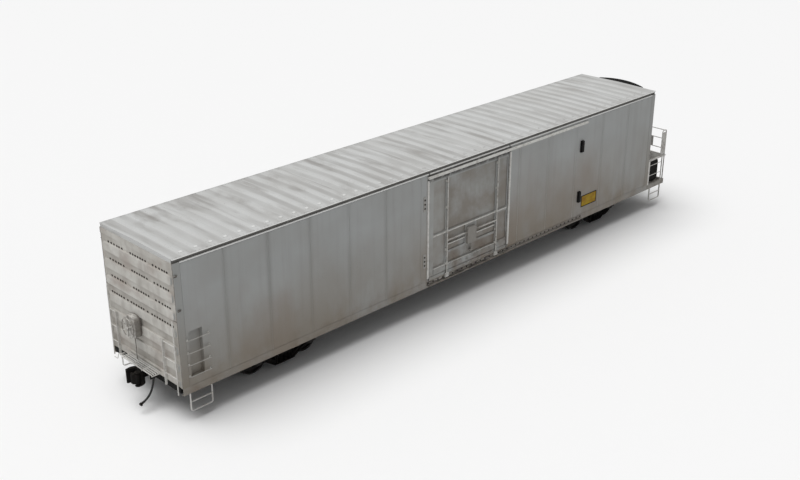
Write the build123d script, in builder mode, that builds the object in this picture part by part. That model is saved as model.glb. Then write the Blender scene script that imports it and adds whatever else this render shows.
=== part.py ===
from build123d import *
import math
import os

os.makedirs("parts", exist_ok=True)

# ---------------------------------------------------------------- driving dimensions, mm
# X runs along the car towards the A end (refrigeration unit), Y across it, Z up from the
# bottom of the wheel flanges, with X = 0 midway between the coupler pulling faces.
underframe_length = 21200     # over both end sills
coupler_reach = 500           # pulling face beyond the end sill
platform_length = 1070        # machinery platform, beyond the insulated box at the A end
body_width = 3200             # over the roof eaves and side sheets
side_height = 3707            # side sill bottom to eave
sill_over_axle = 333          # side sill bottom above the axle centres
sill_depth = 200
roof_crown = 25               # rise of the roof from eave to centre line
wall_thickness = 200
roof_depth = 230              # ceiling below the eave
floor_depth = 230
door_width = 3570             # leaf of the plug door
door_rise = 300               # door bottom above the side sill bottom
door_drop = 327               # door top below the eave
door_centre = -135            # middle of the door opening along X
wheel_radius = 457
flange_height = 25
truck_overhang_b = 3600       # truck centre from the B end of the underframe
truck_overhang_a = 3400
wheelbase = 1778
coupler_rise = 40             # coupler centre line above the side sill bottom

# ---------------------------------------------------------------- places worked out from them
x_b = -underframe_length / 2
x_platform = underframe_length / 2
x_a = x_platform - platform_length
body_length = x_a - x_b
half_width = body_width / 2
axle_height = wheel_radius + flange_height
sill_bottom = axle_height + sill_over_axle
floor_bottom = sill_bottom + sill_depth
floor_top = floor_bottom + floor_depth
eave_height = sill_bottom + side_height
ceiling = eave_height - roof_depth
fascia_depth = 112            # roof edge from the eave down to the wall
wall_top = eave_height - fascia_depth
wall_inner = half_width - wall_thickness
door_x0 = door_centre - door_width / 2
door_x1 = door_centre + door_width / 2
door_bottom = sill_bottom + door_rise
door_top = eave_height - door_drop
door_height = door_top - door_bottom
truck_places = (("b", x_b + truck_overhang_b), ("a", x_platform - truck_overhang_a))
coupler_height = sill_bottom + coupler_rise


def bar(x0, x1, y0, y1, z0, z1, mode=Mode.ADD):
    """Adds a block between two corners."""
    with Locations(((x0 + x1) / 2, (y0 + y1) / 2, (z0 + z1) / 2)):
        Box(abs(x1 - x0), abs(y1 - y0), abs(z1 - z0), mode=mode)


def rod(points, radius, bend=0):
    """Adds a round bar along a route, with its bends rounded to one radius."""
    with BuildLine() as route:
        if len(points) == 2:
            Line(*points)
        else:
            FilletPolyline(*points, radius=bend)
    with BuildSketch(Plane(origin=route.line @ 0, z_dir=route.line % 0)) as section:
        Circle(radius)
    sweep(sections=section.sketch, path=route.line)


def drum(centre, direction, radius, length):
    """Adds a round block that starts at a point and runs in a direction."""
    with BuildSketch(Plane(origin=centre, z_dir=direction)) as section:
        Circle(radius)
    extrude(section.sketch, amount=length)


def pipe_holes(length):
    """Cuts the way for the train pipe along the car, on both sides."""
    for side in (-1, 1):
        with Locations(Plane(origin=(0, side * pipe_y, pipe_z), z_dir=(1, 0, 0))):
            Cylinder(pipe_hole, length, mode=Mode.SUBTRACT)


def finish(name, shape):
    """Labels a finished piece and writes its file."""
    shape.label = name
    export_step(shape, f"parts/{name}.step")


# ---------------------------------------------------------------- roof
rib_pitch = 436
rib_first = 400               # first rib from the B end of the roof
rib_last = 500                # least space left at the A end
rib_edge = 200                # rib ends in from the eave
rib_foot = 190                # width of a rib at its foot
rib_height = 30
rib_draft = 30                # slope of the rib's sides, degrees
rib_root = 4                  # the ribs start this far inside the sheet
rib_nose = 60                 # sloped end of a rib
nose_step = 3                 # and the step left at its foot
eave_flange = 27
eave_recess = 34

with BuildPart() as roof:
    with BuildSketch(Plane.YZ.offset(x_b)):
        with BuildLine():
            Polyline(
                (-half_width, eave_height - eave_flange),
                (-half_width, eave_height),
                (0, eave_height + roof_crown),
                (half_width, eave_height),
                (half_width, eave_height - eave_flange),
                (half_width - eave_recess, eave_height - eave_flange),
                (half_width - eave_recess, wall_top),
                (wall_inner, wall_top),
                (wall_inner, ceiling),
                (-wall_inner, ceiling),
                (-wall_inner, wall_top),
                (eave_recess - half_width, wall_top),
                (eave_recess - half_width, eave_height - eave_flange),
                close=True,
            )
        make_face()
    extrude(amount=body_length)
    # the roof plug drops between the end walls as well as between the sides
    for end in (x_b, x_a - wall_thickness):
        bar(end, end + wall_thickness, -half_width, half_width, ceiling, wall_top, Mode.SUBTRACT)
    # pressed ribs run down both slopes from the ridge, and end in a sloped nose
    slope = math.atan2(roof_crown, half_width)
    rib_half = half_width - rib_edge
    rib_count = int((body_length - rib_first - rib_last) // rib_pitch) + 1
    rib_middle = x_b + rib_first + (rib_count - 1) * rib_pitch / 2
    ridge_height = eave_height + roof_crown
    with BuildSketch(Plane.XZ, mode=Mode.PRIVATE) as rib_section:
        with Locations((rib_middle, ridge_height - rib_root)):
            with GridLocations(rib_pitch, 1, rib_count, 1):
                Trapezoid(rib_foot, rib_height + rib_root, rib_draft, align=(Align.CENTER, Align.MIN))
    for side in (-1, 1):
        downhill = (0, side * math.cos(slope), -math.sin(slope))
        extrude(rib_section.sketch, amount=rib_half, dir=downhill)
    for side in (-1, 1):
        foot = ridge_height - rib_half * math.tan(slope) + nose_step
        with BuildSketch(Plane.YZ.offset(x_b)):
            with BuildLine():
                Polyline(
                    (side * (rib_half - rib_nose), foot + rib_height),
                    (side * (rib_half - rib_nose), foot + 2 * rib_height),
                    (side * (rib_half + rib_nose), foot + 2 * rib_height),
                    (side * (rib_half + rib_nose), foot),
                    (side * rib_half, foot),
                    close=True,
                )
            make_face()
        extrude(amount=body_length, mode=Mode.SUBTRACT)
finish("roof", roof.part)

# ---------------------------------------------------------------- side walls
# Each wall runs from the end wall to the door opening, with sheets laid over its posts.
sheet_depth = 6
seam_gap = 14
sheet_margin = 15             # bare wall above and below the sheets
cap_depth = 28                # angle along the top of the wall
cap_proud = 10
frame_width = 60              # door post, seen from the side
opening_x0 = door_x0 - frame_width
opening_x1 = door_x1 + frame_width
least_sheet = 100             # narrowest sheet left at the door
pocket_x0 = 280               # ladder pocket, from the B end of the body
pocket_x1 = 680
pocket_z0 = 420               # and from the bottom of the side sill
pocket_z1 = 1700
pocket_depth = 130

# wall name, end of the body, direction to the door, first seam from that end, seam pitch
wall_runs = (
    ("b", x_b, 1, 1450, 1380),
    ("a", x_a, -1, 1580, 1450),
)
for side_name, side in (("right", -1), ("left", 1)):
    for run_name, body_end, inward, first_seam, seam_pitch in wall_runs:
        at_end = body_end + inward * wall_thickness
        at_door = opening_x0 if inward > 0 else opening_x1
        run = abs(at_door - body_end)
        seam_count = int((run - first_seam - least_sheet) // seam_pitch) + 1
        edges = [at_end]
        edges += [body_end + inward * (first_seam + i * seam_pitch) for i in range(seam_count)]
        edges += [at_door]
        with BuildPart() as side_wall:
            core = side * (half_width - sheet_depth)
            bar(at_end, at_door, side * wall_inner, core, floor_bottom, wall_top)
            sheet_height = wall_top - cap_depth - floor_bottom - 2 * sheet_margin
            with BuildSketch(Plane.XZ.offset(-core)):
                for here, there in zip(edges[:-1], edges[1:]):
                    with Locations(((here + there) / 2, (floor_bottom + wall_top - cap_depth) / 2)):
                        Rectangle(abs(there - here) - seam_gap, sheet_height)
            extrude(amount=-side * sheet_depth)
            bar(at_end, at_door, core, side * (half_width + cap_proud), wall_top - cap_depth, wall_top)
            if run_name == "b":
                bar(
                    x_b + pocket_x0, x_b + pocket_x1,
                    side * (half_width - pocket_depth), side * (half_width + 1),
                    sill_bottom + pocket_z0, sill_bottom + pocket_z1, Mode.SUBTRACT,
                )
        finish(f"side_wall_{side_name}_{run_name}", side_wall.part)

# ---------------------------------------------------------------- door surround
post_proud = 25
upper_track_gap = 90          # middle of the upper track above the door
upper_track_height = 60
lower_track_gap = 175         # middle of the lower track below the door
lower_track_height = 110
track_proud = 70
track_lip = 12
track_end = 5550              # both tracks run on past the door for it to slide

with BuildPart() as door_headers:
    for side in (-1, 1):
        bar(opening_x0, opening_x1, side * wall_inner, side * half_width, door_top, wall_top)
finish("door_headers", door_headers.part)

with BuildPart() as door_sills:
    for side in (-1, 1):
        bar(opening_x0, opening_x1, side * wall_inner, side * half_width, floor_bottom, door_bottom)
finish("door_sills", door_sills.part)

bolt_plate_rises = (900, 2700)
bolt_plate_offset = 170       # beside the door's left edge, on the wall
bolt_plate_width = 100
bolt_plate_height = 450
bolt_plate_depth = 14
with BuildPart() as door_posts:
    for side in (-1, 1):
        inner = side * wall_inner
        outer = side * (half_width + post_proud)
        bar(opening_x0, door_x0, inner, outer, door_bottom, door_top)
        bar(door_x1, opening_x1, inner, outer, door_bottom, door_top)
        # bolted brackets beside the post
        for rise in bolt_plate_rises:
            x = door_x0 - bolt_plate_offset
            z = sill_bottom + rise
            bar(
                x - bolt_plate_width / 2, x + bolt_plate_width / 2,
                side * half_width, side * (half_width + bolt_plate_depth),
                z - bolt_plate_height / 2, z + bolt_plate_height / 2,
            )
finish("door_posts", door_posts.part)

# Each track is an angle: a flange on the wall and a lip that the rollers run on.
# height of the middle, height of the angle, side of the lip
door_track_rows = (
    (door_top + upper_track_gap, upper_track_height, 1),
    (door_bottom - lower_track_gap, lower_track_height, -1),
)
with BuildPart() as door_tracks:
    for side in (-1, 1):
        near = side * half_width
        far = side * (half_width + track_proud)
        for middle, height, lip in door_track_rows:
            z0 = middle - height / 2
            z1 = middle + height / 2
            bar(opening_x0, track_end, near, near + side * track_lip, z0, z1)
            flat = z1 - track_lip if lip > 0 else z0
            bar(opening_x0, track_end, near, far, flat, flat + track_lip)
            if lip > 0:
                bar(opening_x0, track_end, far - side * track_lip, far, z0, z1)
finish("door_tracks", door_tracks.part)

# ---------------------------------------------------------------- plug doors
leaf_recess = 12
door_clearance = 6
panel_depth = 30
gear_offset = 1855            # middle of the gear box, from the door's left edge
gear_rise = 875               # and from its lower edge
left_column = (210, 720)      # panels left of the first lock rod
middle_column = (830, door_width - 610)
right_column = (door_width - 500, door_width - 70)
panel_top = door_height - 120
# pressed panels: x0, x1 from the door's left edge, z0, z1 from its lower edge
door_panels = (
    (*left_column, 250, 1250),
    (*middle_column, 250, 560),
    (middle_column[0], gear_offset - 255, 640, 1250),
    (gear_offset + 265, middle_column[1], 640, 1250),
    (*left_column, 1320, panel_top),
    (*middle_column, 1320, panel_top),
    (*right_column, 250, 1200),
    (*right_column, 1320, panel_top),
)
kick_band = (220, door_width - 380, 40, 210)        # raised band along the foot of the door
kick_proud = 20
for side_name, side in (("right", -1), ("left", 1)):
    with BuildPart() as plug_door:
        face = side * (half_width - leaf_recess)
        bar(
            door_x0 + door_clearance, door_x1 - door_clearance, side * wall_inner, face,
            door_bottom + door_clearance, door_top - door_clearance,
        )
        for x0, x1, z0, z1 in door_panels:
            with BuildSketch(Plane.XZ.offset(-face)):
                with Locations((door_x0 + (x0 + x1) / 2, door_bottom + (z0 + z1) / 2)):
                    RectangleRounded(x1 - x0, z1 - z0, 40)
            extrude(amount=side * panel_depth, mode=Mode.SUBTRACT)
        x0, x1, z0, z1 = kick_band
        bar(door_x0 + x0, door_x0 + x1, face, face + side * kick_proud, door_bottom + z0, door_bottom + z1)
    finish(f"plug_door_{side_name}", plug_door.part)

# ---------------------------------------------------------------- locking gear of the doors
# Turning the gear throws both vertical rods, whose cams pull the leaf out of its opening.
lock_rod_radius = 20
lock_rod_proud = 45
lock_rods = (775, door_width - 560)     # from the door's left edge
lock_rod_drop = 190           # rods end this far below the door, and below its top edge
lock_rod_stop = 30
lock_bracket_rises = (245, 700, 1290, 2060, door_height - 190)
gear_width = 410
gear_height = 550
gear_depth = 75
throw_rise = 1000             # horizontal rods from the gear to the vertical ones
crank_length = 210
roller_width = 150
with BuildPart() as door_locks:
    for side in (-1, 1):
        face = side * (half_width - leaf_recess)
        y = face + side * lock_rod_proud
        gear_x = door_x0 + gear_offset
        gear_z = door_bottom + gear_rise
        with BuildSketch(Plane.XZ.offset(-face)):
            with Locations((gear_x, gear_z)):
                RectangleRounded(gear_width, gear_height, 60)
        extrude(amount=-side * gear_depth, taper=8)
        for offset_x in lock_rods:
            x = door_x0 + offset_x
            rod([(x, y, door_bottom - lock_rod_drop), (x, y, door_top - lock_rod_stop)], lock_rod_radius)
            for rise in lock_bracket_rises:
                z = door_bottom + rise
                bar(x - 55, x + 55, face, face + side * 20, z - 35, z + 35)
                bar(x - 30, x + 30, face, y, z - 35, z + 35)
            # roller carriage that hangs from the rod over the lower track
            z = door_bottom - lock_rod_drop
            bar(
                x - roller_width / 2, x + roller_width / 2, y - side * 18, y + side * 22,
                z, z + 130,
            )
            throw_z = door_bottom + throw_rise
            ahead = math.copysign(1, x - gear_x)
            rod([(x, y, throw_z), (gear_x + ahead * (gear_width / 2 - 30), y, throw_z)], lock_rod_radius)
        # hand crank below the gear box
        foot = gear_z - gear_height / 2 - crank_length
        rod([(gear_x, y, gear_z - gear_height / 2 + 40), (gear_x, y, foot)], lock_rod_radius)
        bar(gear_x - 70, gear_x + 70, face, y + side * 15, foot - 50, foot)
finish("door_locks", door_locks.part)

stop_x = 5340                 # where the open door comes to rest
# height of the middle above the sill, width, height
door_stop_rows = (
    (2675, 140, 395),
    (890, 130, 385),
)
stop_depth = 75
with BuildPart() as door_stops:
    for side in (-1, 1):
        for rise, width, height in door_stop_rows:
            with BuildSketch(Plane.XZ.offset(-side * half_width)):
                with Locations((stop_x, sill_bottom + rise)):
                    Rectangle(width, height)
            extrude(amount=-side * stop_depth, taper=6)
finish("door_stops", door_stops.part)

# ---------------------------------------------------------------- end walls
# The B end is pressed with horizontal ribs that run out into the corners.
end_rib_first = 763           # middle of the second rib above the sill
end_rib_pitch = 473
end_rib_last = 300            # least space from the last rib's middle to the top of the wall
end_rib_height = 290
end_rib_edge = 60             # rib ends in from the corner
end_rib_proud = 33
end_rib_draft = 40            # degrees
low_rib_height = 215          # the lowest rib is cut short by the sill
end_rib_root = 2
fascia_rib = 145
with BuildPart() as end_wall_b:
    bar(x_b, x_b + wall_thickness, -half_width, half_width, floor_bottom, wall_top)
    rib_length = 2 * (half_width - end_rib_edge)
    rib_room = wall_top - sill_bottom - end_rib_first - end_rib_last
    end_rib_count = int(rib_room // end_rib_pitch) + 1
    with BuildSketch(Plane.YZ.offset(x_b + end_rib_root)):
        for i in range(end_rib_count):
            with Locations((0, sill_bottom + end_rib_first + i * end_rib_pitch)):
                RectangleRounded(rib_length, end_rib_height, end_rib_height / 2.5)
        with Locations((0, floor_bottom + low_rib_height / 2 + 15)):
            RectangleRounded(rib_length, low_rib_height, low_rib_height / 2.5)
    extrude(amount=-end_rib_proud - end_rib_root, taper=end_rib_draft)
    bar(x_b - 12, x_b, -half_width, half_width, wall_top - fascia_rib, wall_top)
finish("end_wall_b", end_wall_b.part)

with BuildPart() as end_wall_a:
    bar(x_a - wall_thickness, x_a, -half_width, half_width, floor_bottom, wall_top)
finish("end_wall_a", end_wall_a.part)

with BuildPart() as load_floor:
    bar(x_b + wall_thickness, x_a - wall_thickness, -wall_inner, wall_inner, floor_bottom, floor_top)
finish("floor", load_floor.part)

# ---------------------------------------------------------------- underframe
sill_thickness = 10
sill_flange = 90
member_end = half_width - sill_flange - 2      # cross members stop short of the side sill's flange
sill_web = 16
draft_half_width = 165        # inside half width of the centre sill
sill_side = draft_half_width + sill_web
centre_sill_drop = 105        # centre sill below the side sill
centre_sill_bottom = sill_bottom - centre_sill_drop
centre_plate_drop = 44        # centre plate below the centre sill
centre_plate_radius = 175
striker_reach = 50
pipe_radius = 21              # train pipe, which passes through the cross members
pipe_hole = 29
pipe_y = 370
pipe_z = sill_bottom + 145
cross_x = 1800                # where the pipe changes sides
pad_length = 240
pad_depth = 12
with BuildPart() as side_sills:
    for side in (-1, 1):
        with BuildSketch(Plane.YZ.offset(x_b)):
            with BuildLine():
                Polyline(
                    (side * half_width, sill_bottom),
                    (side * half_width, floor_bottom),
                    (side * (half_width - sill_flange), floor_bottom),
                    (side * (half_width - sill_flange), floor_bottom - sill_thickness),
                    (side * (half_width - sill_thickness), floor_bottom - sill_thickness),
                    (side * (half_width - sill_thickness), sill_bottom + sill_thickness),
                    (side * (half_width - sill_flange), sill_bottom + sill_thickness),
                    (side * (half_width - sill_flange), sill_bottom),
                    close=True,
                )
            make_face()
        extrude(amount=body_length)
        # pads that take a jack, below the body bolsters
        for _, x in truck_places:
            bar(
                x - pad_length / 2, x + pad_length / 2, side * (half_width - sill_flange),
                side * (half_width - sill_thickness / 2), sill_bottom - pad_depth, sill_bottom,
            )
finish("side_sills", side_sills.part)

coupler_pivot = 1100          # pulling face ahead of the pivot pin
coupler_x = underframe_length / 2 + coupler_reach - coupler_pivot
shank_half = 65
shank_depth = 160
eye_radius = 90
pin_radius = 40
pin_clearance = 1.5
filler_length = 400
filler_gap = 300              # filler block behind the coupler's pin
plate_clear_b = 1200          # bottom plate between the trucks, short of their centres
plate_clear_a = 1400
plate_lap = 80
plate_thickness = 14
with BuildPart() as centre_sill:
    reach = underframe_length / 2 + striker_reach
    for side in (-1, 1):
        bar(-reach, reach, side * draft_half_width, side * sill_side, centre_sill_bottom, floor_bottom)
    bar(-reach, reach, -draft_half_width, draft_half_width, floor_bottom - sill_web, floor_bottom)
    for end in (-1, 1):
        # filler block, coupler pin and the strap that carries it
        x = end * (coupler_x - filler_gap)
        bar(
            x, x - end * filler_length, -draft_half_width, draft_half_width,
            centre_sill_bottom + 20, floor_bottom - sill_web,
        )
        with Locations((end * coupler_x, 0, (centre_sill_bottom + floor_bottom) / 2)):
            Cylinder(pin_radius, floor_bottom - centre_sill_bottom)
        bar(
            end * coupler_x - 90, end * coupler_x + 90, -sill_side, sill_side,
            centre_sill_bottom - sill_web, centre_sill_bottom,
        )
    bar(
        truck_places[0][1] + plate_clear_b, truck_places[1][1] - plate_clear_a,
        -draft_half_width - plate_lap, draft_half_width + plate_lap,
        centre_sill_bottom - plate_thickness, centre_sill_bottom,
    )
    with Locations(Plane(origin=(cross_x, 0, pipe_z), z_dir=(0, 1, 0))):
        Cylinder(pipe_hole, 2 * sill_side, mode=Mode.SUBTRACT)
finish("centre_sill", centre_sill.part)

bolster_half = 190
bolster_flat = 760            # the bolster's underside is level out to here
bolster_knee = 960
bolster_tip = 130             # its depth at the side sill
with BuildPart() as body_bolsters:
    for _, x in truck_places:
        for side in (-1, 1):
            with BuildSketch(Plane.YZ.offset(x - bolster_half)):
                with BuildLine():
                    Polyline(
                        (side * sill_side, centre_sill_bottom),
                        (side * sill_side, floor_bottom),
                        (side * member_end, floor_bottom),
                        (side * member_end, floor_bottom - bolster_tip),
                        (side * bolster_knee, sill_bottom + 35),
                        (side * bolster_flat, centre_sill_bottom),
                        close=True,
                    )
                make_face()
            extrude(amount=2 * bolster_half)
        # centre filler and plate that turn in the truck's bowl
        with BuildSketch(Plane.XY.offset(centre_sill_bottom - centre_plate_drop)):
            with Locations((x, 0)):
                Circle(centre_plate_radius)
        extrude(amount=centre_plate_drop)
    pipe_holes(underframe_length)
finish("body_bolsters", body_bolsters.part)

crossbearer_count = 6
crossbearer_clear_b = 2250    # first and last, from the truck centres
crossbearer_clear_a = 2450
crossbearer_half = 60
crossbearer_tip = 120
first_bearer = truck_places[0][1] + crossbearer_clear_b
last_bearer = truck_places[1][1] - crossbearer_clear_a
bearer_pitch = (last_bearer - first_bearer) / (crossbearer_count - 1)
with BuildPart() as crossbearers:
    for i in range(crossbearer_count):
        x = first_bearer + i * bearer_pitch
        for side in (-1, 1):
            with BuildSketch(Plane.YZ.offset(x - crossbearer_half)):
                with BuildLine():
                    Polyline(
                        (side * sill_side, centre_sill_bottom + 20),
                        (side * sill_side, floor_bottom),
                        (side * member_end, floor_bottom),
                        (side * member_end, floor_bottom - crossbearer_tip),
                        (side * (sill_side + 300), centre_sill_bottom + 20),
                        close=True,
                    )
                make_face()
            extrude(amount=2 * crossbearer_half)
    pipe_holes(underframe_length)
finish("crossbearers", crossbearers.part)

# The B end sill is a channel between the sills; the A end carries the machinery platform.
end_sill_depth = 90
beam_height = 170             # platform beams, level with the bottom of the side sill
beam_width = 90
saddle_offsets = (160, 620)   # cross beams under the fuel tank, from the A end wall
beam_top = sill_bottom + beam_height
with BuildPart() as end_sills:
    for side in (-1, 1):
        bar(x_b, x_b + end_sill_depth, side * sill_side, side * member_end, sill_bottom + 30, floor_bottom)
        bar(
            x_platform - end_sill_depth, x_platform, side * sill_side, side * half_width,
            sill_bottom, beam_top,
        )
        bar(
            x_a, x_platform - end_sill_depth, side * (half_width - beam_width), side * half_width,
            sill_bottom, beam_top,
        )
        for offset_x in saddle_offsets:
            bar(
                x_a + offset_x - 30, x_a + offset_x + 30, side * sill_side,
                side * (half_width - beam_width), sill_bottom, floor_bottom,
            )
    pipe_holes(underframe_length + 10)
finish("end_sills", end_sills.part)

# ---------------------------------------------------------------- B end fittings
crest_b = x_b - end_rib_proud         # outer face of the pressed ribs
grating_bars = 5
grating_pitch = 60
grating_half = 700
platform_rise = 315           # under the platform's bars, above the side sill bottom
platform_depth = 310
bar_depth = 35
bar_half = 6
brace_depth = 30
with BuildPart() as platform_b:
    z = sill_bottom + platform_rise
    for i in range(grating_bars):
        x = x_b - (i + 1) * grating_pitch
        bar(x - bar_half, x + bar_half, -grating_half, grating_half, z, z + bar_depth)
    for y in (-grating_half + 10, -grating_half / 3, grating_half / 3, grating_half - 10):
        bar(x_b - platform_depth, crest_b, y - bar_half, y + bar_half, z - brace_depth, z)
finish("platform_b", platform_b.part)

brake_wheel_radius = 280
brake_wheel_y = 240
brake_wheel_reach = 300       # wheel ahead of the end wall
brake_wheel_rise = 1325       # wheel centre above the side sill bottom
rim_radius = 15
spoke_count = 6
spoke_width = 34
hub_radius = 70
gear_case_width = 480
gear_case_height = 620
gear_case_corner = 190
gear_case_depth = 190
chain_rod_radius = 14
chain_rod_y = 285
with BuildPart() as handbrake:
    wheel_z = sill_bottom + brake_wheel_rise
    with BuildSketch(Plane.YZ.offset(crest_b)):
        with Locations((brake_wheel_y, wheel_z)):
            RectangleRounded(gear_case_width, gear_case_height, gear_case_corner)
    extrude(amount=-gear_case_depth)
    fillet(faces().sort_by(Axis.X)[0].edges(), 30)
    wheel_x = x_b - brake_wheel_reach
    wheel_plane = Plane(origin=(wheel_x, brake_wheel_y, wheel_z), z_dir=(1, 0, 0))
    drum(wheel_plane.origin, (1, 0, 0), 22, crest_b - gear_case_depth / 2 - wheel_x)
    drum(wheel_plane.origin - Vector(25, 0, 0), (1, 0, 0), hub_radius, 40)
    with Locations(wheel_plane):
        Torus(brake_wheel_radius - rim_radius, rim_radius)
        with PolarLocations(0, spoke_count):
            with Locations((brake_wheel_radius / 2 - rim_radius / 2, 0, 0)):
                Box(brake_wheel_radius - 2 * rim_radius, spoke_width, 12)
    # rod down to the brake rigging, in a guide at its foot
    rod_x = crest_b - 60
    rod_foot = floor_bottom + 40
    rod([(rod_x, chain_rod_y, wheel_z), (rod_x, chain_rod_y, rod_foot)], chain_rod_radius)
    bar(rod_x, crest_b, chain_rod_y - 12, chain_rod_y + 12, rod_foot + 40, rod_foot + 60)
finish("handbrake", handbrake.part)

rung_radius = 11
stile_depth = 66
stile_half = 6
corner_pipe_radius = 16
corner_pipe_y = half_width - 130
corner_pipe_top = 2050        # above the side sill bottom
end_rung_rises = (450, 900, 1350)
side_rung_rises = (480, 800, 1130, 1480)
iron_x0 = 225                 # grab irons on the side, from the B end of the body
iron_x1 = 850
iron_reach = 60
iron_bend = 22
foot_half = 28
foot_depth = 8
with BuildPart() as ladders_b:
    # side, stile in from the corner
    for side, stile_edge in ((-1, 640), (1, 450)):
        stile_y = side * (half_width - stile_edge)
        pipe_side = side * corner_pipe_y
        x = crest_b - stile_depth / 2
        bar(
            crest_b - stile_depth, crest_b, stile_y - stile_half, stile_y + stile_half,
            sill_bottom + end_rung_rises[0] - 350, sill_bottom + end_rung_rises[-1] + 30,
        )
        rod(
            [(x, pipe_side, sill_bottom), (x, pipe_side, sill_bottom + corner_pipe_top)],
            corner_pipe_radius,
        )
        for rise in end_rung_rises:
            rod([(x, stile_y, sill_bottom + rise), (x, pipe_side, sill_bottom + rise)], rung_radius)
        for i in range(2):
            z = sill_bottom + end_rib_first + i * end_rib_pitch
            bar(x, crest_b, pipe_side - 12, pipe_side + 12, z - 20, z + 20)
    for side in (-1, 1):
        wall_y = side * half_width
        iron_y = wall_y + side * iron_reach
        for rise in side_rung_rises:
            z = sill_bottom + rise
            rod(
                [
                    (x_b + iron_x0, wall_y, z), (x_b + iron_x0, iron_y, z),
                    (x_b + iron_x1, iron_y, z), (x_b + iron_x1, wall_y, z),
                ],
                rung_radius, iron_bend,
            )
            for x in (x_b + iron_x0, x_b + iron_x1):
                bar(x - 20, x + 20, wall_y, wall_y + side * foot_depth, z - foot_half, z + foot_half)
finish("ladders_b", ladders_b.part)

step_inner = 850              # stirrup's far leg, from the end of the underframe
step_outer = 200
step_width = 50
step_thickness = 12
step_bend = 60
with BuildPart() as stirrup_steps:
    # end, foot and tread below the side sill
    for end, foot_drop, tread_drop in ((-1, 520, 250), (1, 500, 240)):
        for side in (-1, 1):
            y = side * (half_width - step_width / 2)
            near = end * (underframe_length / 2 - step_outer)
            far = end * (underframe_length / 2 - step_inner)
            foot = sill_bottom - foot_drop
            with BuildLine() as strap:
                FilletPolyline(
                    (near, y, sill_bottom), (near, y, foot), (far, y, foot), (far, y, sill_bottom),
                    radius=step_bend,
                )
            with BuildSketch(Plane(origin=strap.line @ 0, x_dir=(0, 1, 0), z_dir=(0, 0, -1))) as flat:
                Rectangle(step_width, step_thickness)
            sweep(sections=flat.sketch, path=strap.line)
            tread = sill_bottom - tread_drop
            bar(near, far, y - step_width / 2, y + step_width / 2, tread - step_thickness, tread)
finish("stirrup_steps", stirrup_steps.part)

lever_radius = 11
lever_reach = 125
lever_bend = 40
lever_drop = 190
# end, side, height above the side sill bottom
cut_lever_rows = ((-1, 1, 170), (1, -1, 75))
with BuildPart() as cut_levers:
    for end, side, rise in cut_lever_rows:
        x = end * (underframe_length / 2 + lever_reach)
        z = sill_bottom + rise
        rod(
            [
                (x, side * 230, z), (x, side * 1150, z),
                (x, side * 1230, z - lever_drop), (x, side * 1380, z - lever_drop),
            ],
            lever_radius, lever_bend,
        )
        for y in (420, 1050):
            bar(end * underframe_length / 2, x + end * 14, side * y - 20, side * y + 20, z - 18, z + 18)
finish("cut_levers", cut_levers.part)

# ---------------------------------------------------------------- A end fittings
deck_rise = 1100              # top of the machinery deck above the side sill bottom
deck_depth = 35
deck_frame = 75
deck_slats = 11
slat_width = 30
deck_z = sill_bottom + deck_rise
post_y = half_width - 50
post_half = 15
rail_radius = 17
top_rail = 950                # rails above the deck
middle_rail = 580
low_rail = 220
hoop_width = 240
hoop_bend = 80
rail_plate_in = 580
rail_plate_half = 60
hoop_x1 = x_platform - 20
hoop_x0 = hoop_x1 - hoop_width
with BuildPart() as walkway_a:
    deck_length = x_platform - x_a
    with BuildSketch(Plane.XY.offset(deck_z)):
        with Locations((x_a + deck_length / 2, 0)):
            Rectangle(deck_length, 2 * half_width)
            Rectangle(deck_length - 2 * deck_frame, 2 * (half_width - deck_frame), mode=Mode.SUBTRACT)
            slat_pitch = (deck_length - 2 * deck_frame) / (deck_slats + 1)
            with GridLocations(slat_pitch, 1, deck_slats, 1):
                Rectangle(slat_width, 2 * (half_width - deck_frame))
    extrude(amount=-deck_depth)
    # corner posts from the platform beams up to the deck
    for side in (-1, 1):
        bar(
            hoop_x1 - post_half, hoop_x1 + post_half, side * (post_y - post_half),
            side * (post_y + post_half), beam_top, deck_z - deck_depth,
        )
finish("walkway_a", walkway_a.part)

with BuildPart() as handrails_a:
    rail_top = deck_z + top_rail
    for side in (-1, 1):
        y = side * post_y
        rod(
            [(hoop_x0, y, deck_z), (hoop_x0, y, rail_top), (hoop_x1, y, rail_top), (hoop_x1, y, deck_z)],
            rail_radius, hoop_bend,
        )
        bar(hoop_x0, hoop_x1, y - 3, y + 3, deck_z + 30, rail_top - hoop_bend)
        # rails across the car
        for rise in (low_rail, middle_rail, top_rail - hoop_bend / 2):
            rod([(hoop_x1, y, deck_z + rise), (hoop_x1, 0, deck_z + rise)], rail_radius - 3)
        # plate between the two lower rails
        bar(
            hoop_x1 - 10, hoop_x1 + 10, side * (post_y - rail_plate_in) - rail_plate_half,
            side * (post_y - rail_plate_in) + rail_plate_half, deck_z + low_rail, deck_z + middle_rail,
        )
finish("handrails_a", handrails_a.part)

unit_half_width = 940
unit_side_depth = 210
unit_depth = 390
unit_rise = 60                # above the deck
unit_top_drop = 50            # below the eave
with BuildPart() as refrigeration_unit:
    with BuildSketch(Plane.XY.offset(deck_z + unit_rise)):
        with BuildLine():
            Line((x_a, -unit_half_width), (x_a, unit_half_width))
            Line((x_a, unit_half_width), (x_a + unit_side_depth, unit_half_width))
            ThreePointArc(
                (x_a + unit_side_depth, unit_half_width), (x_a + unit_depth, 0),
                (x_a + unit_side_depth, -unit_half_width),
            )
            Line((x_a + unit_side_depth, -unit_half_width), (x_a, -unit_half_width))
        make_face()
    extrude(amount=eave_height - unit_top_drop - deck_z - unit_rise)
finish("refrigeration_unit", refrigeration_unit.part)

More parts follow.
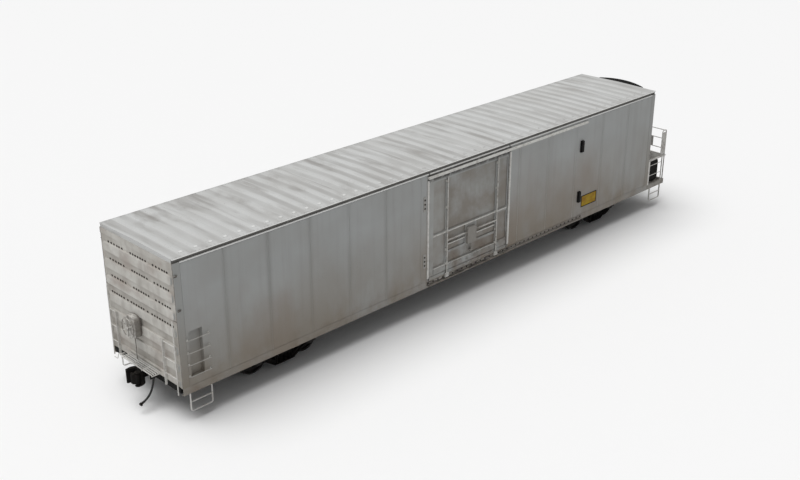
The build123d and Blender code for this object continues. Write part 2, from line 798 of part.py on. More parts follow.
tank_length = 790             # along the car
tank_half_width = 1480
tank_corner = 140
tank_headroom = 60
with BuildPart() as fuel_tank:
    tank_height = deck_z - deck_depth - tank_headroom - floor_bottom
    with BuildSketch(Plane.XZ.offset(-tank_half_width)):
        with Locations((x_a + tank_length / 2, floor_bottom + tank_height / 2)):
            RectangleRounded(tank_length, tank_height, tank_corner)
    extrude(amount=2 * tank_half_width)
finish("fuel_tank", fuel_tank.part)

side_ladder_rises = (500, 880)
corner_plate = 90             # width of the plate against the body's corner
with BuildPart() as ladders_a:
    for side in (-1, 1):
        y = side * (half_width - 20)
        near = x_platform - step_outer
        far = x_a + corner_plate
        bar(near - 8, near + 8, y - 20, y + 20, beam_top, deck_z - deck_depth)
        bar(x_a, far, y - 20, y + 20, beam_top, deck_z - deck_depth)
        for rise in side_ladder_rises:
            z = sill_bottom + rise
            rod([(near, y, z), (far, y, z)], rung_radius)
finish("ladders_a", ladders_a.part)

# ---------------------------------------------------------------- brake gear on the body
hose_radius = 27.5
# route of the B end air hose, from the angle cock's mouth to the glad hand
hose_route = (
    (-10662, -370, 880),
    (-10682, -370, 763),
    (-10713, -371, 647),
    (-10768, -373, 514),
    (-10857, -377, 402),
    (-10955, -380, 333),
    (-11045, -383, 298),
)
cock_radius = 42
mouth_radius = 33
mouth_length = 70
with BuildPart() as brake_pipe:
    pipe_end = underframe_length / 2 + 60
    rod(
        [
            (-pipe_end, -pipe_y, pipe_z), (cross_x, -pipe_y, pipe_z),
            (cross_x, pipe_y, pipe_z), (pipe_end, pipe_y, pipe_z),
        ],
        pipe_radius, 150,
    )
    first = Vector(*hose_route[0]) - Vector(*hose_route[1])
    for end in (-1, 1):
        # angle cock on the end of the pipe, its mouth turned down to the hose
        drum((end * (underframe_length / 2 + 5), end * pipe_y, pipe_z), (end, 0, 0), cock_radius, 75)
        mouth = Vector(-end * hose_route[0][0], -end * hose_route[0][1], hose_route[0][2])
        drum(mouth, Vector(-end * first.X, 0, first.Z).normalized(), mouth_radius, mouth_length)
finish("brake_pipe", brake_pipe.part)

reservoir_radius = 165
reservoir_y = 900
reservoir_x0 = -700
reservoir_length = 1100
cylinder_radius = 140
hanger_half = 15
with BuildPart() as brake_reservoir:
    # reservoir and brake cylinder, each in two straps under the floor
    # x start, y, radius, length
    for x0, y, radius, length in (
        (reservoir_x0, reservoir_y, reservoir_radius, reservoir_length),
        (-2600, -reservoir_y, cylinder_radius, 620),
        (1500, reservoir_y, cylinder_radius, 380),
    ):
        z = floor_bottom - 40 - radius
        drum((x0, y, z), (1, 0, 0), radius, length)
        for share in (0.2, 0.8):
            x = x0 + share * length
            bar(x - hanger_half, x + hanger_half, y - 60, y + 60, z, floor_bottom)
finish("brake_reservoir", brake_reservoir.part)


def corner_radii(points):
    """Largest even bend at each corner of a route, from its shorter run and its turn."""
    radii = []
    for a, b, c in zip(points[:-2], points[1:-1], points[2:]):
        first = Vector(*b) - Vector(*a)
        second = Vector(*c) - Vector(*b)
        turn = math.radians(first.get_angle(second))
        radii.append(0.45 * min(first.length, second.length) / math.tan(turn / 2))
    return radii


hose_radii = corner_radii(hose_route)
print("hose bend radii, mm:", [round(r) for r in hose_radii])
with BuildPart() as air_hose_b:
    with BuildLine() as hose_line:
        FilletPolyline(*hose_route, radius=hose_radii)
    with BuildSketch(Plane(origin=hose_line.line @ 0, z_dir=hose_line.line % 0)):
        Circle(hose_radius)
    sweep(path=hose_line.line)
finish("air_hose_b", air_hose_b.part)

sleeve_length = 45
hand_length = 55
with BuildPart() as glad_hand_b:
    tip = hose_line.line @ 1
    ahead = hose_line.line % 1
    drum(tip, ahead, hose_radius + 4, sleeve_length)
    with BuildSketch(Plane(origin=tip + ahead * sleeve_length, z_dir=ahead)):
        RectangleRounded(64, 88, 14)
    extrude(amount=hand_length)
finish("glad_hand_b", glad_hand_b.part)

# ---------------------------------------------------------------- couplers
# Drawn at the pivot pin, with the pulling face ahead along X.
knuckle_pin = (985, 130)
head_height = 400
lug_depth = 30
knuckle_height = 280
knuckle_pin_radius = 20
with BuildPart() as coupler:
    bar(0, 780, -shank_half, shank_half, -shank_depth / 2, shank_depth / 2)
    with BuildSketch(Plane.XY.offset(-shank_depth / 2)):
        Circle(eye_radius)
    extrude(amount=shank_depth)
    # head with its guard arm, and the hollow that takes the other car's knuckle
    with BuildSketch(Plane.XY.offset(-head_height / 2)):
        with BuildLine():
            Polyline(
                (770, -130), (770, 130), (850, 195), (925, 200), (925, 50), (885, 10),
                (900, -70), (1000, -130), (1110, -158), (1118, -205), (960, -222), (860, -185),
                close=True,
            )
        make_face()
        fillet(vertices(), 12)
    extrude(amount=head_height)
    # lugs above and below the knuckle
    for z in (-head_height / 2, head_height / 2 - lug_depth):
        with BuildSketch(Plane.XY.offset(z)):
            with BuildLine():
                Polyline(
                    (900, 50), (900, 200), (1000, 205), (1055, 160), (1050, 85), (985, 50), close=True,
                )
            make_face()
            fillet(vertices(), 10)
        extrude(amount=lug_depth)
    with Locations((*knuckle_pin, 0)):
        Cylinder(knuckle_pin_radius - 2, head_height + 30)
    Cylinder(pin_radius + pin_clearance, shank_depth, mode=Mode.SUBTRACT)

with BuildPart() as knuckle:
    with BuildSketch(Plane.XY.offset(-knuckle_height / 2)):
        with BuildLine():
            Polyline(
                (985, 130), (1035, 130), (1095, 60), (1100, 0), (1080, -45), (1035, -60),
                (1020, -10), (1010, 40), close=True,
            )
        make_face()
        fillet(vertices().sort_by(Axis.Y)[:5], 9)
        with Locations(knuckle_pin):
            Circle(52)
            Circle(knuckle_pin_radius, mode=Mode.SUBTRACT)
    extrude(amount=knuckle_height)

for name, x, turn in (("b", -coupler_x, 180), ("a", coupler_x, 0)):
    place = Location((x, 0, coupler_height), (0, 0, turn))
    finish(f"coupler_{name}", coupler.part.moved(place))
    finish(f"knuckle_{name}", knuckle.part.moved(place))

# ---------------------------------------------------------------- trucks
# Drawn at the truck centre; heights are from the axle centres.
journal_y = 1003
frame_half_width = 80
frame_top = 278
spring_seat = -267
frame_bottom = -332
column_x = 235                # half the opening for the bolster and springs
bearing_radius = 115
bearing_gap = 6
axle_x = wheelbase / 2
frame_end = axle_x + 236      # side frame's end, from the truck centre
bolster_top = 158
bolster_under = -42           # underside of the bolster's ends, on the springs
bolster_breadth = 400
bolster_reach = 1150
seat_half = 140               # half the depth of the spring seat
seat_depth = 28
spring_pitch = 136
spring_radius = 62
plate_lift = 0.5              # running clearance under the body's centre plate
bowl_clearance = 5
bowl_wall = 40
bowl_rim = 22
bowl_radius = centre_plate_radius + bowl_clearance
bowl_height = centre_sill_bottom - centre_plate_drop - plate_lift - axle_height - bolster_top
bearing_block = centre_sill_bottom - axle_height - bolster_top - 8
beam_x = axle_x - wheel_radius - 70
beam_z = -32
guide_depth = 40

# radius of the wheelset at each distance from the middle of the axle
tread = wheel_radius
wheelset_profile = (
    (0, 88), (640, 95), (662, 140), (710, 140), (738, tread - 60), (679.5, tread - 50),
    (679.5, tread + 10), (692, tread + flange_height), (703, tread + flange_height),
    (716, tread + 2), (825, tread - 5), (825, tread - 55), (772, tread - 60), (765, 140),
    (842, 130), (905, 90), (905, bearing_radius), (1095, bearing_radius), (1100, 80), (1125, 70),
    (1125, 0),
)
with BuildPart() as wheelset:
    with BuildSketch(Plane.YZ):
        for side in (1, -1):
            with BuildLine():
                Polyline((0, 0), *[(side * y, r) for y, r in wheelset_profile], close=True)
            make_face()
    revolve(axis=Axis.Y)

# The cast side frame: arched top member, truss legs down to the spring seat, pedestal
# jaws over the bearings, and a web set in between its flanges.
jaw_inner = bearing_radius + bearing_gap
web_inset = 35
rim_inset = 26
with BuildSketch(Plane.XZ) as truss:
    with BuildLine():
        Polyline(
            (-frame_end, 130), (-frame_end + 50, 215), (-560, frame_top), (560, frame_top),
            (frame_end - 50, 215), (frame_end, 130), (frame_end - 20, -82),
            (axle_x + jaw_inner + 12, -82), (axle_x + jaw_inner, jaw_inner),
            (axle_x - jaw_inner, jaw_inner), (axle_x - jaw_inner - 14, -82), (axle_x - 190, -82),
            (330, frame_bottom), (-330, frame_bottom), (190 - axle_x, -82),
            (jaw_inner + 14 - axle_x, -82), (jaw_inner - axle_x, jaw_inner),
            (-axle_x - jaw_inner, jaw_inner), (-axle_x - jaw_inner - 12, -82),
            (20 - frame_end, -82),
            close=True,
        )
    make_face()
    fillet(vertices(), 14)
    # opening for the bolster and springs, and one in each truss leg
    with Locations((0, (spring_seat + 208) / 2)):
        Rectangle(2 * column_x, 208 - spring_seat, mode=Mode.SUBTRACT)
    for end in (-1, 1):
        with BuildLine():
            Polyline(
                (end * 330, -170), (end * (axle_x - 289), -10), (end * (axle_x - 239), 150),
                (end * 330, 195), close=True,
            )
        make_face(mode=Mode.SUBTRACT)

with BuildSketch(Plane.XZ) as hollow:
    add(truss.sketch)
    offset(amount=-rim_inset, kind=Kind.INTERSECTION, mode=Mode.REPLACE)

with BuildPart() as side_frame:
    extrude(truss.sketch, amount=frame_half_width, both=True)
    for side in (-1, 1):
        cut = hollow.sketch.moved(Location((0, side * frame_half_width, 0)))
        extrude(cut, amount=side * web_inset, mode=Mode.SUBTRACT)
    # spring seat, and the brackets that hold the brake beams
    bar(-column_x, column_x, -seat_half, seat_half, spring_seat - seat_depth, spring_seat)

with BuildPart() as side_frames:
    for side in (-1, 1):
        add(side_frame.part.moved(Location((0, side * journal_y, 0))))
        for end in (-1, 1):
            inner = side * (journal_y - frame_half_width)
            bar(
                end * (column_x + 10), end * (beam_x + 40), inner, inner - side * guide_depth,
                beam_z - 45, beam_z + 45,
            )

with BuildPart() as truck_bolster:
    with BuildSketch(Plane.YZ.offset(-bolster_breadth / 2)):
        with BuildLine():
            Polyline(
                (-bolster_reach, bolster_under), (-bolster_reach, bolster_top),
                (bolster_reach, bolster_top), (bolster_reach, bolster_under),
                (860, bolster_under), (520, -132), (-520, -132), (-860, bolster_under),
                close=True,
            )
        make_face()
    extrude(amount=bolster_breadth)
    # bowl for the centre plate, and side bearings
    with BuildSketch(Plane.XY.offset(bolster_top)):
        Circle(bowl_radius + bowl_wall)
    extrude(amount=bowl_height + bowl_rim)
    with BuildSketch(Plane.XY.offset(bolster_top + bowl_height)):
        Circle(bowl_radius)
    extrude(amount=bowl_rim, mode=Mode.SUBTRACT)
    for side in (-1, 1):
        bar(-150, 150, side * 590, side * 680, bolster_top, bolster_top + bearing_block)

with BuildPart() as springs:
    for side in (-1, 1):
        with BuildSketch(Plane.XY.offset(spring_seat)):
            with Locations((0, side * journal_y)):
                with GridLocations(spring_pitch, spring_pitch, 3, 2):
                    Circle(spring_radius)
        extrude(amount=bolster_under - spring_seat)

with BuildPart() as brake_beams:
    for end in (-1, 1):
        x = end * beam_x
        reach = journal_y - frame_half_width - guide_depth
        bar(x - 30, x + 30, -reach, reach, beam_z - 30, beam_z + 30)
        for side in (-1, 1):
            bar(x - end * 30, x + end * 50, side * 720, side * 810, beam_z - 50, beam_z + 110)
        # strut in the middle of the beam
        bar(x - end * 120, x - end * 30, -20, 20, beam_z - 30, beam_z + 30)

for truck, x in truck_places:
    place = Location((x, 0, axle_height))
    finish(f"truck_{truck}_side_frames", side_frames.part.moved(place))
    finish(f"truck_{truck}_bolster", truck_bolster.part.moved(place))
    finish(f"truck_{truck}_springs", springs.part.moved(place))
    finish(f"truck_{truck}_brake_beams", brake_beams.part.moved(place))
    for i, end in ((1, -1), (2, 1)):
        finish(f"wheelset_{truck}{i}", wheelset.part.moved(Location((x + end * axle_x, 0, axle_height))))
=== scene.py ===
import bmesh
import bpy
import math
from mathutils import Matrix, Vector


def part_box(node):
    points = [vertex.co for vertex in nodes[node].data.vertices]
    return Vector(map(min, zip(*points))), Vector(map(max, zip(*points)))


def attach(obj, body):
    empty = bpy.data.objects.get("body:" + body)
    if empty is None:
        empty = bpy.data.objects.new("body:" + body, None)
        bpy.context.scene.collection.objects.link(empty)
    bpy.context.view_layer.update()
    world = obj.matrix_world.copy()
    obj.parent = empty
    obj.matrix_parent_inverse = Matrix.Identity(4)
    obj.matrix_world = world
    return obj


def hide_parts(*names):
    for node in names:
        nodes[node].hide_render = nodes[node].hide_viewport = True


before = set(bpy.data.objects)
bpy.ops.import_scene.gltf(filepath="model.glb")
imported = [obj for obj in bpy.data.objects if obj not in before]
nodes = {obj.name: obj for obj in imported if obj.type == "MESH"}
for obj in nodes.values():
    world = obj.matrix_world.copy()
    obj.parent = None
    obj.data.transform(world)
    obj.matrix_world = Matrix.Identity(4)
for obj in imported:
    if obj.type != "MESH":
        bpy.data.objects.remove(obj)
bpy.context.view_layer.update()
collection = bpy.context.collection

# places on the car, in metres
car = {
    "bodyStart": -10.6, "bodyEnd": 9.53, "halfWidth": 1.6, "leafInset": 0.012,
    "sillBottom": 0.815, "wallTop": 4.41, "eave": 4.522, "crown": 0.025,
    "doorStart": -1.92, "doorEnd": 1.65, "doorFoot": 1.115, "doorTop": 4.195,
    "trucks": {"b": -7.0, "a": 7.2}, "axleReach": 0.889, "axleHeight": 0.482,
    # seams between side sheets at each end of the car: first, pitch, how many
    "seams": {"b": (-9.15, 1.38, 5), "a": (7.95, -1.45, 4)},
    "roofRibs": (-10.2, 0.436),         # first, pitch
}


def linearColor(hexText):
    channels = [int(hexText[i:i + 2], 16) / 255 for i in (1, 3, 5)]
    linear = [c / 12.92 if c <= 0.04045 else ((c + 0.055) / 1.055) ** 2.4 for c in channels]
    return (*linear, 1.0)


def addNode(tree, kind, settings=None, links=None):
    # settings go to an input, by name or number, or to a property; a link may name a whole node
    node = tree.nodes.new(kind)
    for key, value in (settings or {}).items():
        if isinstance(key, int) or key in node.inputs:
            node.inputs[key].default_value = value
        else:
            setattr(node, key, value)
    for key, source in (links or {}).items():
        if isinstance(source, bpy.types.Node):
            source = next(socket for socket in source.outputs if socket.enabled)
        tree.links.new(source, node.inputs[key])
    return node


def perMetre(millimetres):
    return 1000 / millimetres          # noise scale that gives patches of about this size


def bothSides(reach):
    return -reach, 2 * reach           # start and pitch of two lines, as far left as right of the middle


def newPiece(name, data, body):
    piece = bpy.data.objects.new(name, data)
    collection.objects.link(piece)
    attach(piece, body)
    return piece


# camera, placed from the foot of the body's B end
camera = {
    "azimuth": -44.7487, "elevation": 23.6602, "place": (-12.8096, -22.0989, 14.5473),
    "lens": 50, "sensor": 36, "farClip": 400,
}
azimuth = math.radians(camera["azimuth"])
elevation = math.radians(camera["elevation"])
lookBack = Vector((
    math.sin(azimuth) * math.cos(elevation), -math.cos(azimuth) * math.cos(elevation),
    math.sin(elevation),
))
lookRight = Vector((math.cos(azimuth), math.sin(azimuth), 0))
aim = Matrix((lookRight, lookBack.cross(lookRight), lookBack)).transposed().to_4x4()
aim.translation = Vector(camera["place"]) + Vector((car["bodyStart"], 0, car["sillBottom"]))
cameraData = bpy.data.cameras.new("camera")
cameraData.lens = camera["lens"]
cameraData.sensor_width = camera["sensor"]
cameraData.clip_end = camera["farClip"]
cameraObject = bpy.data.objects.new("camera", cameraData)
cameraObject.matrix_world = aim
collection.objects.link(cameraObject)
bpy.context.scene.camera = cameraObject
print("camera placed")


def layeredFinish(look):
    # a ground colour with stains laid over it: noise patches, "size" millimetres across, that may
    # keep to bands (axis, where faint, where full), to ways of facing (the same of the normal) or
    # to lines at an even pitch (axis, start, pitch, and how near to a line it is full and faint)
    material = bpy.data.materials.new(look["name"])
    material.use_nodes = True
    tree = material.node_tree
    shader = tree.nodes["Principled BSDF"]
    shader.inputs["Roughness"].default_value = look["roughness"]
    shader.inputs["Metallic"].default_value = look.get("metallic", 0.0)
    shader.inputs["Base Color"].default_value = linearColor(look["ground"])
    if "ior" in look:
        shader.inputs["IOR"].default_value = look["ior"]
    place = addNode(tree, "ShaderNodeTexCoord").outputs["Object"]
    axes = addNode(tree, "ShaderNodeSeparateXYZ", links={"Vector": place}).outputs
    normal = addNode(tree, "ShaderNodeNewGeometry").outputs["Normal"]
    normalAxes = addNode(tree, "ShaderNodeSeparateXYZ", links={"Vector": normal}).outputs
    color = None
    for stain in look["stains"]:
        spread = addNode(
            tree, "ShaderNodeMapping",
            {"Scale": stain.get("stretch", (1, 1, 1)), "Location": stain.get("shift", (0, 0, 0))},
            {"Vector": place},
        )
        cloud = addNode(
            tree, "ShaderNodeTexNoise",
            {"Scale": perMetre(stain["size"]), "Detail": stain.get("detail", 3.0), "Roughness": 0.55},
            {"Vector": spread},
        )
        mask = addNode(
            tree, "ShaderNodeMapRange",
            {"From Min": stain["from"], "From Max": stain["to"], "To Max": stain["amount"]},
            {"Value": cloud},
        )
        limits = []
        for source, key in ((axes, "bands"), (normalAxes, "facings")):
            for axis, faint, full in stain.get(key, ()):
                limits.append(addNode(
                    tree, "ShaderNodeMapRange", {"From Min": faint, "From Max": full},
                    {"Value": source[axis]},
                ))
        for axis, start, pitch, full, faint in stain.get("lines", ()):
            along = addNode(tree, "ShaderNodeMath", {"operation": "SUBTRACT", 1: start}, {0: axes[axis]})
            fold = addNode(tree, "ShaderNodeMath", {"operation": "PINGPONG", 1: pitch / 2}, {0: along})
            limits.append(addNode(
                tree, "ShaderNodeMapRange",
                {"From Min": faint, "From Max": full, "interpolation_type": "SMOOTHSTEP"},
                {"Value": fold},
            ))
        for limit in limits:
            mask = addNode(tree, "ShaderNodeMath", {"operation": "MULTIPLY"}, {0: mask, 1: limit})
        # the mix's colours are its inputs 6 and 7 and its output 2
        color = addNode(
            tree, "ShaderNodeMix",
            {"data_type": "RGBA", 6: linearColor(look["ground"]), 7: linearColor(stain["color"])},
            {0: mask, 6: color.outputs[2]} if color else {0: mask},
        )
    if color:
        tree.links.new(color.outputs[2], shader.inputs["Base Color"])
    relief = addNode(
        tree, "ShaderNodeTexNoise", {"Scale": perMetre(look["reliefSize"]), "Detail": look["reliefDetail"]},
        {"Vector": place},
    )
    bump = addNode(
        tree, "ShaderNodeBump", {"Strength": 0.6, "Distance": look["reliefDepth"] / 1000},
        {"Height": relief},
    )
    tree.links.new(bump.outputs["Normal"], shader.inputs["Normal"])
    return material


everywhere = {"size": 1000, "from": 0.0, "to": 0.02, "detail": 0}      # an even coat, with no patches
ribStart, ribPitch = car["roofRibs"]
corners = bothSides(car["halfWidth"])
# painted highlight: a pale band for the lit top of a ledge, used on the walls and the doors
paintedLedgeHighlight = {"color": "#e4e4e2", **everywhere, "amount": 0.9}


# Side sheets: white alkyd enamel sprayed on steel, long in the weather. Chalked and quite matt, cool
# grey, with soft dark bands at the sheet seams, pale paint in their gaps as painted light against the gaps'
# shade, rain streaks, rust spots and brown road dust low down. The top of the angle along the wall's top
# carries a painted highlight, a bright lip.
def sideEnamel(name, end, seamDirt, seamGapLight):
    seamStart, seamPitch = car["seams"][end][:2]
    return layeredFinish({
        "name": name, "roughness": 0.66, "ground": "#a0a2a2",
        "stains": (
            {"color": "#959694", "size": 1900, "from": 0.35, "to": 0.68, "amount": 0.8},
            {"color": "#757572", "size": 900, "stretch": (1, 1, 0.25), "from": 0.3, "to": 0.62,
             "amount": seamDirt, "lines": ((0, seamStart, abs(seamPitch), 0.0, 0.15),)},
            {"color": "#7d7b76", "size": 230, "stretch": (1, 1, 0.05), "detail": 4, "from": 0.5,
             "to": 0.78, "amount": 0.25},
            {"color": "#82796c", "size": 1500, "stretch": (1, 1, 0.5), "detail": 4, "from": 0.25,
             "to": 0.58, "amount": 0.8, "bands": ((2, 3.5, 1.2),)},
            {"color": "#7d6b59", "size": 2600, "stretch": (1, 1, 0.6), "shift": (2.2, 0, 0), "detail": 4,
             "from": 0.5, "to": 0.74, "amount": 0.5, "bands": ((2, 4.4, 2.4),)},
            {"color": "#665240", "size": 420, "detail": 6, "from": 0.45, "to": 0.75, "amount": 0.5,
             "bands": ((2, 1.5, 0.85),)},
            {"color": "#5d4433", "size": 26, "detail": 2, "from": 0.70, "to": 0.76, "amount": 0.6,
             "bands": ((2, 4.6, 1.0),)},
            # painted light: pale paint at the bottom of each seam gap, lifting its shade
            {"color": "#c2c2bf", **everywhere, "amount": seamGapLight, "bands": ((2, 1.025, 1.035),),
             "lines": ((0, seamStart, abs(seamPitch), 0.007, 0.009),)},
            # painted highlight on the lit top of the angle along the wall's top
            {**paintedLedgeHighlight, "bands": ((2, car["wallTop"] - 0.032, car["wallTop"] - 0.027),)},
        ),
        "reliefSize": 750, "reliefDetail": 2, "reliefDepth": 5,
    })


sidePaintB = sideEnamel("chalkedEnamelSideB", "b", 0.4, 0.25)
sidePaintA = sideEnamel("chalkedEnamelSideA", "a", 0.3, 0.6)
# Doors: the same enamel, handled more. Browner in the pressed panels and low down, a little paler past
# the first lock rod, painted shade along the leaf's top under the header and in the gaps down its edges,
# and a painted highlight on the ledge over it, as on the walls.
panelFace = 1.558                       # the pressed panels lie this far from the car's middle
# the leaf's edges, where painted shade fills the gaps beside it
gapShadeStart, gapShadeEnd = car["doorStart"] + 0.015, car["doorEnd"] - 0.015
doorPaint = layeredFinish({
    "name": "chalkedEnamelDoor", "roughness": 0.62, "ground": "#a0a2a1",
    "stains": (
        {"color": "#8f908d", "size": 1200, "from": 0.35, "to": 0.65, "amount": 0.8},
        {"color": "#7a756d", "size": 260, "stretch": (1, 1, 0.12), "detail": 5, "from": 0.48, "to": 0.72,
         "amount": 0.4},
        {"color": "#746a5e", "size": 700, "detail": 5, "from": 0.3, "to": 0.62, "amount": 0.7,
         "lines": ((1, *bothSides(panelFace), 0.003, 0.023),)},
        {"color": "#6f5f50", "size": 600, "detail": 5, "from": 0.36, "to": 0.62, "amount": 0.65,
         "bands": ((2, 2.9, 1.2),)},
        {"color": "#4d4035", "size": 140, "detail": 6, "from": 0.5, "to": 0.72, "amount": 0.7,
         "bands": ((2, 1.9, 1.1),)},
        {"color": "#a6a6a3", **everywhere, "amount": 0.35, "bands": ((0, -1.13, -1.17),)},
        # painted shade under the header, along the leaf's top
        {"color": "#34312e", "size": 120, "detail": 4, "from": 0.25, "to": 0.5, "amount": 0.9,
         "bands": ((2, car["doorTop"] - 0.095, car["doorTop"] - 0.025),)},
        # painted highlight on the lit ledge over the door
        {**paintedLedgeHighlight, "bands": ((2, car["wallTop"] - 0.038, car["wallTop"] - 0.033),)},
        # painted shade in the gaps down the leaf's edges
        {"color": "#2b2927", "size": 300, "from": 0.1, "to": 0.4, "amount": 0.85,
         "lines": ((0, gapShadeStart, gapShadeEnd - gapShadeStart, 0.012, 0.035),)},
    ),
    "reliefSize": 500, "reliefDetail": 2, "reliefDepth": 4,
})
# End sheets: enamel over pressed ribs, warm grey, dirt in the lap of the two sheets and, at the B end, in
# the hollows between the ribs, and painted shade down the corners with brown dirt low on them. The faces
# round the corner match the sides.
endStains = (
    {"color": "#b0ada6", "size": 800, "from": 0.35, "to": 0.65, "amount": 0.8},
    {"color": "#8f8881", "size": 300, "stretch": (1, 1, 0.5), "detail": 6, "from": 0.46, "to": 0.72,
     "amount": 0.55},
    {"color": "#9a8e86", "size": 900, "stretch": (1, 1, 1.6), "detail": 3, "from": 0.5, "to": 0.68,
     "amount": 0.6},
    {"color": "#7d766c", "size": 420, "stretch": (1, 1, 0.4), "detail": 5, "from": 0.35, "to": 0.65,
     "amount": 0.6, "bands": ((2, 2.4, 1.0),)},
    {"color": "#5a534b", "size": 300, "from": 0.2, "to": 0.5, "amount": 0.75,
     "lines": ((2, 2.865, 20, 0.008, 0.03),)},              # the lap, one line in the car's height
    # painted shade down both corners of the end
    {"color": "#4c4844", "size": 300, "from": 0.2, "to": 0.5, "amount": 0.8,
     "lines": ((1, *corners, 0.012, 0.04),)},
    {"color": "#959694", **everywhere, "amount": 1.0, "facings": ((1, -0.3, -0.8),)},
    {"color": "#959694", **everywhere, "amount": 1.0, "facings": ((1, 0.3, 0.8),)},
    {"color": "#7a7062", "size": 1500, "stretch": (1, 1, 0.5), "detail": 4, "from": 0.2, "to": 0.5,
     "amount": 0.85, "bands": ((2, 3.2, 1.0),), "lines": ((1, *corners, 0.001, 0.008),)},
)
endPaintA = layeredFinish({
    "name": "chalkedEnamelEndA", "roughness": 0.62, "ground": "#c6c4be", "stains": endStains,
    "reliefSize": 300, "reliefDetail": 3, "reliefDepth": 6,
})
endPaintB = layeredFinish({
    "name": "chalkedEnamelEndB", "roughness": 0.62, "ground": "#c6c4be",
    "stains": (
        {"color": "#8c857c", "size": 350, "stretch": (1, 0.4, 1), "detail": 5, "from": 0.25, "to": 0.6,
         "amount": 0.6, "bands": ((0, car["bodyStart"] - 0.032, car["bodyStart"] - 0.003),)},
        *endStains,
    ),
    "reliefSize": 300, "reliefDetail": 3, "reliefDepth": 6,
})
# Roof: enamel that faces the weather, palest on the rib tops, darker in the valleys between them with dirt
# and painted shade. The recess under the eave carries painted shade; the eave's edge and the rib ends
# painted highlights.
ribNose = 1.37                          # middle of the ribs' sloped ends, this far from the roof's middle
roofPaint = layeredFinish({
    "name": "chalkedEnamelRoof", "roughness": 0.7, "ground": "#c3c4c3",
    "stains": (
        {"color": "#b8b8b6", "size": 1500, "from": 0.35, "to": 0.65, "amount": 0.8},
        # darker in the valleys between the ribs: dirt there, and painted shade
        {"color": "#93918e", "size": 600, "stretch": (1, 0.2, 1), "detail": 5, "from": 0.3, "to": 0.68,
         "amount": 0.6, "lines": ((0, ribStart + ribPitch / 2, ribPitch, 0.05, 0.15),)},
        {"color": "#7f7b77", "size": 260, "stretch": (1, 0.1, 1), "detail": 5, "from": 0.54, "to": 0.72,
         "amount": 0.5},
        {"color": "#78736e", "size": 750, "stretch": (1, 0.4, 1), "detail": 6, "from": 0.56, "to": 0.72,
         "amount": 0.5, "bands": ((0, 3.0, -4.0),)},
        {"color": "#6a6059", "size": 60, "detail": 4, "from": 0.66, "to": 0.74, "amount": 0.4},
        # painted highlight on the eave's edge
        {"color": "#fafaf8", **everywhere, "amount": 0.9, "facings": ((2, 0.5, 0.2),),
         "lines": ((1, *corners, 0.002, 0.01),)},
        # painted shade in the recess under the eave
        {"color": "#565450", "size": 300, "from": 0.1, "to": 0.3, "amount": 0.9,
         "bands": ((2, car["eave"] - 0.025, car["eave"] - 0.028),), "facings": ((2, 0.4, 0.1),),
         "lines": ((1, *corners, 0.04, 0.06),)},
        # painted highlights on the rib ends near the B end
        {"color": "#f4f4f2", **everywhere, "amount": 0.55, "bands": ((0, -10.4, -10.3), (0, -1.0, -5.0)),
         "lines": ((0, ribStart, ribPitch, 0.03, 0.06), (1, *bothSides(ribNose), 0.012, 0.035))},
    ),
    "reliefSize": 260, "reliefDetail": 3, "reliefDepth": 6,
})
# Fittings: brushed enamel on bar and pipe, paler because it is touched up, chipped to rust, and dulled
# on the side ladders and the brackets beside the doors.
dulledPatches = (
    {"color": "#bfbdb8", "size": 400, "from": 0.35, "to": 0.65, "amount": 0.8},
    {"color": "#89827a", "size": 120, "detail": 5, "from": 0.52, "to": 0.7, "amount": 0.5},
)
fittingPaint = layeredFinish({
    "name": "brushedEnamelFittings", "roughness": 0.55, "ground": "#d4d3cf",
    "stains": (
        *dulledPatches,
        {"color": "#5f4634", "size": 45, "detail": 4, "from": 0.62, "to": 0.7, "amount": 0.6},
        {"color": "#918f8a", **everywhere, "amount": 0.9, "bands": ((0, -2.03, -2.05), (0, -2.2, -2.18))},
        {"color": "#8f8c86", **everywhere, "amount": 0.7, "bands": ((0, -9.5, -9.6), (2, 1.05, 1.15)),
         "lines": ((1, *bothSides(1.7), 0.06, 0.11),)},
    ),
    "reliefSize": 40, "reliefDetail": 3, "reliefDepth": 0.6,
})
# Hand brake and corner clips: the same brushed enamel, never touched up, dirt in the gear, and
# painted shade on the faces turned to -Y, the drum's flank among them.
handBrakePaint = layeredFinish({
    "name": "grimyEnamelHandBrake", "roughness": 0.6, "ground": "#c3c1bc",
    "stains": (
        {"color": "#a29d96", "size": 200, "from": 0.35, "to": 0.65, "amount": 0.8},
        {"color": "#6d6760", "size": 90, "detail": 5, "from": 0.45, "to": 0.62, "amount": 0.7},
        # painted shade on every face turned to -Y, away from the light
        {"color": "#68635d", **everywhere, "amount": 0.75, "facings": ((1, -0.2, -0.7),)},
        {"color": "#4e4842", "size": 60, "detail": 4, "from": 0.2, "to": 0.5, "amount": 0.8,
         "bands": ((0, -10.70, -10.66),)},
    ),
    "reliefSize": 40, "reliefDetail": 3, "reliefDepth": 0.8,
})
# Door gear and deck rails: older brushed enamel, dulled by hands and dust, with the doors' crank
# boxes as grimy as their leaves.
gearPaint = layeredFinish({
    "name": "dulledEnamelGear", "roughness": 0.6, "ground": "#c2c1bd",
    "stains": (
        {"color": "#a9a6a0", "size": 300, "from": 0.35, "to": 0.65, "amount": 0.8},
        {"color": "#6d665f", "size": 90, "detail": 5, "from": 0.5, "to": 0.68, "amount": 0.6},
        {"color": "#7f7b75", **everywhere, "amount": 0.9, "bands": ((0, -0.38, -0.34), (0, 0.27, 0.23))},
    ),
    "reliefSize": 40, "reliefDetail": 3, "reliefDepth": 0.6,
})
